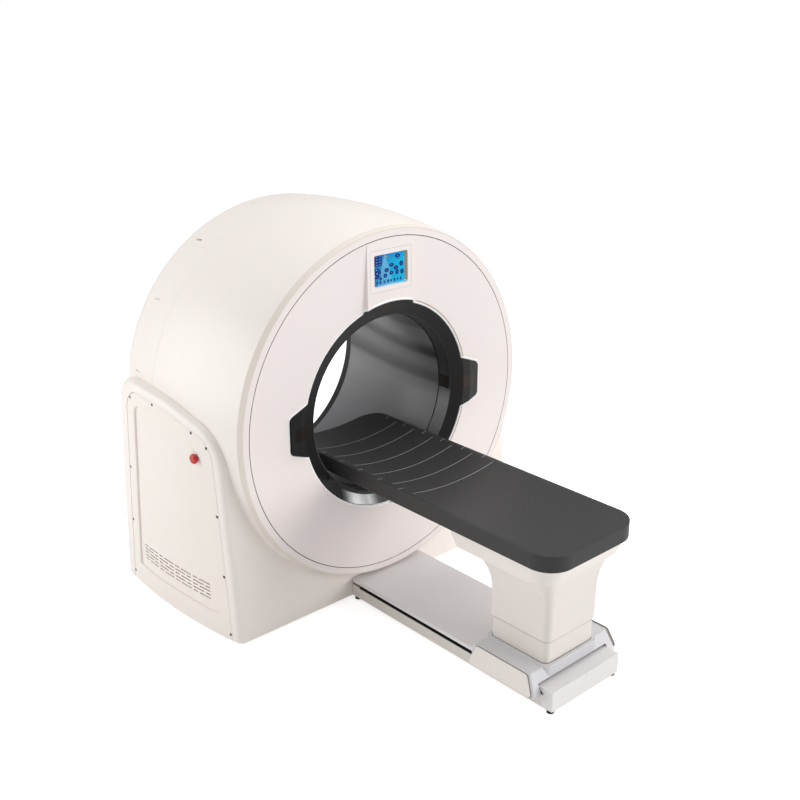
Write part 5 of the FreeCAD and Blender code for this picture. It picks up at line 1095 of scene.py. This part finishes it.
@dataclass
class Housing:
    """Joints and fasteners of the drum's shells, its side panels and its back."""

    joint_low: float = 90.0          # lowest point of the seal between the shells
    grip_length: float = 110.0       # a longer outline isn't a lifting recess

    def shell_joint(self) -> None:
        """Pale line over the top of the drum, between the two shells."""
        loop = Skin("front_shell").rims(TO_BACK)[0]
        low = AXIS_HEIGHT + self.joint_low * MM
        start = next(index for index, point in enumerate(loop)
                     if point.z >= low > loop[index - 1].z)
        turned = loop[start:] + loop[:start]
        run = []
        for point in turned:
            if point.z < low:
                break
            run.append(point)
        centre = machine(0.0, 0.0, 0.0)
        sunk = []
        for point in run:
            spoke = Vector((point.x - centre.x, 0.0, point.z - centre.z)).normalized()
            sunk.append(point - spoke * (0.9 * MM))
        Bead("shell_joint_seal", 1.7, 0.7, JOINT, "trim_beige").build([sunk], TO_BACK, closed=False)

    def panel_joints(self) -> None:
        """Dark line round each side panel, where its back meets the shells."""
        for side, name in ((-1.0, "left"), (1.0, "right")):
            outward = Vector((side, 0.0, 0.0))
            outline = Skin(f"side_panel_{name}").rims(-outward, 0.7, 0.5)[0]
            Bead(f"side_panel_joint_{name}", 2.8, 1.8, PANEL_JOINT, "screw_dark").build(
                [outline], outward)

    def screw_socket_shade(self) -> None:
        """Black hexagon on the head of every panel screw, a hair proud: painted shade of its socket."""
        shape = bmesh.new()
        screws = Skin("panel_screws")
        for island in screws.islands():
            side = 1.0 if island[0].calc_center_median().x > 0 else -1.0
            heads = [face for face in island if face.normal.x * side > 0.9]
            middle = sum((face.calc_center_median() * face.calc_area() for face in heads), Vector())
            middle /= sum(face.calc_area() for face in heads)
            turn = Matrix.Rotation(math.pi / 2, 4, "Y")
            made = bmesh.ops.create_circle(shape, segments=6, radius=3.0 * MM, cap_ends=True,
                                           matrix=Matrix.Translation(middle) @ turn)
            cap = list({face for vert in made["verts"] for face in vert.link_faces})
            inner = bmesh.ops.inset_region(shape, faces=cap, thickness=0.9 * MM, depth=0.0)
            raised = bmesh.ops.extrude_face_region(shape, geom=cap + inner["faces"])
            moved = [item for item in raised["geom"] if isinstance(item, bmesh.types.BMVert)]
            bmesh.ops.translate(shape, verts=moved, vec=(side * 0.08 * MM, 0.0, 0.0))
        add_piece("panel_screw_socket_shade", mesh_of("panel_screw_socket_shade", shape), [SEAL_AND_SHADE], "gantry")

    def grip_shadows(self) -> None:
        """Grey line round the small lifting recesses of the rear shell: painted shade at their rims."""
        skin = Skin("rear_shell")
        found = {}
        for degrees in range(10, 180, 10):
            spoke = Vector((math.cos(math.radians(degrees)), 0.0, math.sin(math.radians(degrees))))
            for loop in skin.rims(spoke, 0.9, 0.3):
                if run_length(loop) < self.grip_length * MM:
                    middle = sum(loop, Vector()) / len(loop)
                    found[tuple(round(value, 2) for value in middle)] = loop
        Bead("lifting_recess_painted_shade", 1.4, 0.3, FAINT_JOINT_AND_SHADE, "trim_beige").build(list(found.values()), UP)

    def back_joints(self) -> None:
        """Line round the rear cover."""
        outline = Skin("rear_cover").rims(TO_BACK)[0]
        Bead("rear_cover_joint", 2.0, 0.2, FAINT_JOINT_AND_SHADE, "trim_beige").build([outline], TO_BACK)

    def build(self) -> None:
        """Make the joints, and the painted shade of the screws' sockets and round the lifting recesses.
        """
        self.shell_joint()
        self.panel_joints()
        self.screw_socket_shade()
        self.grip_shadows()
        self.back_joints()


@dataclass
class StopButton:
    """Mushroom head of the emergency stop, with a domed face and a gripped rim."""

    crest_y: float = 495.0
    bulge: float = 2374.0
    side: float = 762.3
    y: float = 220.0
    z: float = -71.0
    seat_depth: float = 8.0          # of the panel's field, where the collar stands
    lift: float = 10.3               # underside of the head above the field
    radius: float = 19.0
    height: float = 12.0
    stem: float = 9.0
    stem_base: float = -17.7
    grips: int = 24

    def place(self) -> Matrix:
        """Frame of the button: z out of the panel."""
        lean = math.asin((self.crest_y - self.y) / self.bulge)
        x = self.side - self.bulge + math.sqrt(self.bulge ** 2 - (self.crest_y - self.y) ** 2)
        outward = Vector((-math.cos(lean), -math.sin(lean), 0.0))
        seat = machine(-x, self.y, self.z) - outward * (self.seat_depth * MM)
        return Matrix.Translation(seat) @ outward.to_track_quat("Z", "Y").to_matrix().to_4x4()

    def build(self) -> None:
        """Spin the head, notch its rim and set it on its stem."""
        low, high = self.lift, self.lift + self.height
        radius = self.radius
        profile = [
            (0.0, high), (6.0, high - 0.15), (11.0, high - 0.6), (14.5, high - 1.5),
            (16.8, high - 2.8), (18.2, high - 4.6), (radius, high - 7.0), (radius, low + 1.6),
            (radius - 0.6, low + 0.5), (radius - 1.8, low), (self.stem, low),
            (self.stem, self.stem_base), (self.stem - 1.0, self.stem_base - 0.0), (0.0, self.stem_base),
        ]
        shape = turned_shape(profile, self.grips * 2)
        for vert in shape.verts:
            reach = math.hypot(vert.co.x, vert.co.y)
            if reach > (radius - 0.9) * MM and low + 1.0 < vert.co.z / MM < high - 4.0:
                turn = round(math.atan2(vert.co.y, vert.co.x) / (math.pi / self.grips))
                if turn % 2:
                    vert.co.x *= 1.0 - 0.7 / radius
                    vert.co.y *= 1.0 - 0.7 / radius
        head = add_piece("stop_mushroom_head", mesh_of("stop_mushroom_head", shape, self.place()),
                         [STOP_RED], "stop_head")
        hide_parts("stop_head")


# --------------------------------------------------------------------------------------------
# Patient table
# --------------------------------------------------------------------------------------------

@dataclass
class TabletopMarks:
    """Printed cross lines and edge ticks on the dished tabletop."""

    lines_y: tuple[float, ...] = (200.6, 95.7, -17.2, -128.0, -237.6, -348.5)
    ticks_y: tuple[float, ...] = (262.0, 155.1, 40.3, -66.0, -179.5, -291.1)
    line_half: float = 208.0
    tick_inner: float = 203.0
    tick_outer: float = 226.0
    width: float = 2.6
    thick: float = 0.25
    steps: int = 40

    def strip(self, shape: bmesh.types.BMesh, skin: Skin, x0: float, x1: float, y: float,
              steps: int) -> None:
        """Lay one printed strip across the tabletop.

        Args:
            shape: bmesh that takes it.
            skin: the tabletop's surface.
            x0: its left end in millimetres.
            x1: its right end.
            y: its station.
            steps: how many pieces it bends in.
        """
        place = Matrix.Translation(machine((x0 + x1) / 2, y, 0.0)) @ Matrix.Diagonal(
            ((x1 - x0) / 2 * MM, self.width / 2 * MM, 1.0, 1.0))
        made = bmesh.ops.create_grid(shape, x_segments=steps, y_segments=1, size=1.0, matrix=place)
        for vert in made["verts"]:
            below = skin.meet(Vector((vert.co.x, vert.co.y, AXIS_HEIGHT)), DOWN)
            vert.co.z = below.z + self.thick * MM
        faces = list({face for vert in made["verts"] for face in vert.link_faces})
        bmesh.ops.solidify(shape, geom=faces, thickness=2 * self.thick * MM)

    def build(self) -> None:
        """Lay the six lines and their ticks."""
        skin = Skin("tabletop")
        shape = bmesh.new()
        for y in self.lines_y:
            self.strip(shape, skin, -self.line_half, self.line_half, y, self.steps)
        for y in self.ticks_y:
            for side in (-1.0, 1.0):
                x0, x1 = sorted((side * self.tick_inner, side * self.tick_outer))
                self.strip(shape, skin, x0, x1, y, 4)
        add_piece("tabletop_marks", mesh_of("tabletop_marks", shape), [MARK], "lift")


@dataclass
class ColumnSeals:
    """Grey bead under the moving sleeve, which wipes the column and paints the shadow under the sleeve's
    step, and the line round the column's foot.
    """

    wiper_shadow: float = 2.2
    wiper_shadow_inset: float = 4.9         # of its middle line from the sleeve's outer face
    wiper_shadow_drop: float = 3.4          # of its middle line under the sleeve
    foot: float = 2.0
    plate: float = 1.6

    def shrunk(self, loop: list[Vector], inset: float) -> list[Vector]:
        """Move a loop towards its own middle.

        Args:
            loop: points in one level.
            inset: distance in millimetres.

        Returns:
            The smaller loop.
        """
        middle = sum(loop, Vector()) / len(loop)
        half_x = max(abs(point.x - middle.x) for point in loop)
        half_y = max(abs(point.y - middle.y) for point in loop)
        scale_x = 1.0 - inset * MM / half_x
        scale_y = 1.0 - inset * MM / half_y
        return [Vector((middle.x + (point.x - middle.x) * scale_x,
                        middle.y + (point.y - middle.y) * scale_y, point.z)) for point in loop]

    def build(self) -> None:
        """Make the grey bead under the sleeve with its painted shadow, the foot seal and the saddle
        plates' joints.
        """
        edges = sorted(Skin("column_sleeve").rims(DOWN), key=lambda loop: loop[0].z)
        edge = max(edges[:2], key=run_length)
        # Grey bead under the sleeve's edge, a real seal whose line is also the painted shadow under the
        # sleeve's step.
        Bead("sleeve_wiper_shadow", self.wiper_shadow, self.wiper_shadow_drop + self.wiper_shadow, FAINT_JOINT_AND_SHADE, "belt_black",
             "lift").build([self.shrunk(edge, self.wiper_shadow_inset)], DOWN)
        foot = [loop for loop in Skin("carriage_saddle").rims(UP) if run_length(loop) > 0.6]
        foot.sort(key=lambda loop: max(point.z for point in loop), reverse=True)
        Bead("column_foot_seal", self.foot, 0.7, JOINT, "belt_black", "carriage").build(
            [foot[0]], UP)
        plates = Skin("saddle_side_plates")
        for side, name in ((-1.0, "left"), (1.0, "right")):
            inward = Vector((-side, 0.0, 0.0))
            seam = [loop for loop in plates.rims(inward) if loop[0].x * side > 0.0][0]
            Bead(f"saddle_plate_joint_{name}", self.plate, 0.5, JOINT, "belt_black",
                 "carriage").build([seam], inward)


@dataclass
class RailDetails:
    """Felt edging in the rail's two side slots, black as painted shade of the slots, and black mats on
    its floor inside that are painted shade.
    """

    start_y: float = -953.0
    end_y: float = -8.0
    felt_shade_x: tuple[float, float] = (170.8, 179.4)
    felt_shade_z: tuple[float, float] = (-727.9, -724.0)
    floor_shade_x: tuple[float, float] = (61.0, 170.0)
    floor_shade_z: tuple[float, float] = (-764.4, -763.2)

    def strips(self, name: str, across: tuple[float, float], level: tuple[float, float]) -> None:
        """Lay one flat strip along each side of the rail.

        Args:
            name: the piece's name.
            across: its inner and outer side, from the middle plane in millimetres.
            level: its underside and its top.
        """
        shape = bmesh.new()
        for side in (-1.0, 1.0):
            middle = machine(side * sum(across) / 2, (self.start_y + self.end_y) / 2, sum(level) / 2)
            size = Matrix.Diagonal(((across[1] - across[0]) * MM, (self.end_y - self.start_y) * MM,
                                    (level[1] - level[0]) * MM, 1.0))
            made = bmesh.ops.create_cube(shape, size=1.0, matrix=Matrix.Translation(middle) @ size)
            edges = list({edge for vert in made["verts"] for edge in vert.link_edges})
            bmesh.ops.bevel(shape, geom=edges, offset=0.35 * MM, affect="EDGES", segments=2,
                            profile=0.5, material=-1)
        add_piece(name, mesh_of(name, shape), [SEAL_AND_SHADE], "gantry")

    def build(self) -> None:
        """Lay the felts and the mats, black as painted shade."""
        self.strips("rail_slot_felts_and_shade", self.felt_shade_x, self.felt_shade_z)
        self.strips("rail_floor_painted_shade", self.floor_shade_x, self.floor_shade_z)


# --------------------------------------------------------------------------------------------
# Studio
# --------------------------------------------------------------------------------------------

class LampKind(Enum):
    """Blender's light types that the studio uses."""

    SOFTBOX = "AREA"
    FAR_WINDOW = "SUN"


@dataclass
class Lamp:
    """One soft light: a softbox with a power in watts, or a far window with an even strength."""

    name: str
    place: tuple[float, float, float]
    aim: tuple[float, float, float]
    power: float
    width: float = 0.0               # metres
    height: float = 0.0
    kind: LampKind = LampKind.SOFTBOX
    spread: float = 0.0              # degrees that a far window covers

    def build(self) -> bpy.types.Object:
        """Make the light, turned to its aim."""
        data = bpy.data.lights.new(self.name, self.kind.value)
        data.energy = self.power
        if self.kind is LampKind.FAR_WINDOW:
            data.angle = math.radians(self.spread)
        else:
            data.shape = "RECTANGLE"
            data.size = self.width
            data.size_y = self.height
        lamp = bpy.data.objects.new(self.name, data)
        bpy.context.scene.collection.objects.link(lamp)
        lamp.location = self.place
        line = Vector(self.aim) - Vector(self.place)
        lamp.rotation_euler = line.to_track_quat("-Z", "Y").to_euler()
        return lamp


@dataclass
class Studio:
    """Camera, floor, lights and white surroundings."""

    camera_place: tuple[float, float, float] = (-2.6545, -2.8786, 2.3155)
    camera_turn: tuple[float, float, float] = (69.309, 0.0, -42.2345)
    lens: float = 50.0
    floor_half: float = 30.0
    floor_colour: str = "F4F4F4"
    floor_glow: float = 0.12         # light that the paper gives the machine from below
    floor_shown: float = 0.5         # what the camera sees on top of that
    room: float = 0.4
    lamps: list[Lamp] = field(default_factory=lambda: [
        Lamp("left_softbox", (-3.8, 2.9, 1.8), (0.0, 0.2, 0.8), 86.0, 3.2, 3.0),
        Lamp("right_window", (6.0, -7.6, 2.6), (0.0, 0.0, 0.4), 1.27, kind=LampKind.FAR_WINDOW,
             spread=38.0),
        Lamp("top_softbox", (0.0, 0.2, 4.6), (0.0, 0.0, 0.0), 69.0, 4.0, 4.0),
        Lamp("far_softbox", (3.2, -1.0, 3.2), (0.2, -0.5, 0.1), 60.0, 3.0, 3.0),
    ])

    def camera(self) -> None:
        """Stand the camera where the photograph was taken from."""
        data = bpy.data.cameras.new("camera")
        data.lens = self.lens
        data.sensor_width = 36.0
        data.clip_end = 200.0
        camera = bpy.data.objects.new("camera", data)
        bpy.context.scene.collection.objects.link(camera)
        camera.location = self.camera_place
        camera.rotation_euler = [math.radians(angle) for angle in self.camera_turn]
        bpy.context.scene.camera = camera

    def floor(self) -> None:
        """Lay a pale floor that shows white to the camera and keeps the machine's shadow."""
        mesh = bpy.data.meshes.new("studio_floor")
        shape = bmesh.new()
        bmesh.ops.create_grid(shape, x_segments=1, y_segments=1, size=self.floor_half)
        shape.to_mesh(mesh)
        shape.free()
        floor = bpy.data.objects.new("studio_floor", mesh)
        bpy.context.scene.collection.objects.link(floor)
        material, tree = new_tree("seamless_paper")
        paper = add_node(tree, "ShaderNodeBsdfDiffuse", {}, {"Color": linear(self.floor_colour)})
        path = add_node(tree, "ShaderNodeLightPath")
        strength = add_node(tree, "ShaderNodeMath", {"operation": "MULTIPLY_ADD"}, {
            0: path.outputs["Is Camera Ray"], 1: self.floor_shown, 2: self.floor_glow})
        glow = add_node(tree, "ShaderNodeEmission", {}, {
            "Color": (1.0, 1.0, 1.0, 1.0), "Strength": strength.outputs["Value"]})
        both = add_node(tree, "ShaderNodeAddShader", {}, {
            0: paper.outputs["BSDF"], 1: glow.outputs["Emission"]})
        add_node(tree, "ShaderNodeOutputMaterial", {}, {"Surface": both.outputs["Shader"]})
        mesh.materials.append(material)

    def surroundings(self) -> None:
        """Light the room evenly and show white behind the machine."""
        world = bpy.data.worlds.new("white_room")
        bpy.context.scene.world = world
        world.use_nodes = True
        tree = world.node_tree
        tree.nodes.clear()
        path = add_node(tree, "ShaderNodeLightPath")
        room = add_node(tree, "ShaderNodeBackground", {}, {
            "Color": linear("FFFFFF"), "Strength": self.room})
        white = add_node(tree, "ShaderNodeBackground", {}, {
            "Color": (1.0, 1.0, 1.0, 1.0), "Strength": 1.0})
        pick = add_node(tree, "ShaderNodeMixShader", {}, {
            0: path.outputs["Is Camera Ray"], 1: room.outputs["Background"],
            2: white.outputs["Background"]})
        add_node(tree, "ShaderNodeOutputWorld", {}, {"Surface": pick.outputs["Shader"]})

    def build(self) -> None:
        """Set up the whole studio."""
        self.camera()
        self.floor()
        self.surroundings()
        for lamp in self.lamps:
            lamp.build()
        bpy.context.scene.view_settings.view_transform = "Standard"
        LOG.info("studio with %d lamps", len(self.lamps))


def main() -> None:
    """Dress the machine, add its fine pieces and set up the studio."""
    logging.basicConfig(level=logging.INFO, format="%(message)s")
    Studio().build()
    dress_nodes()
    FrontFace().build()
    Display().build()
    Housing().build()
    StopButton().build()
    TabletopMarks().build()
    ColumnSeals().build()
    RailDetails().build()


if __name__ == "__main__":
    main()
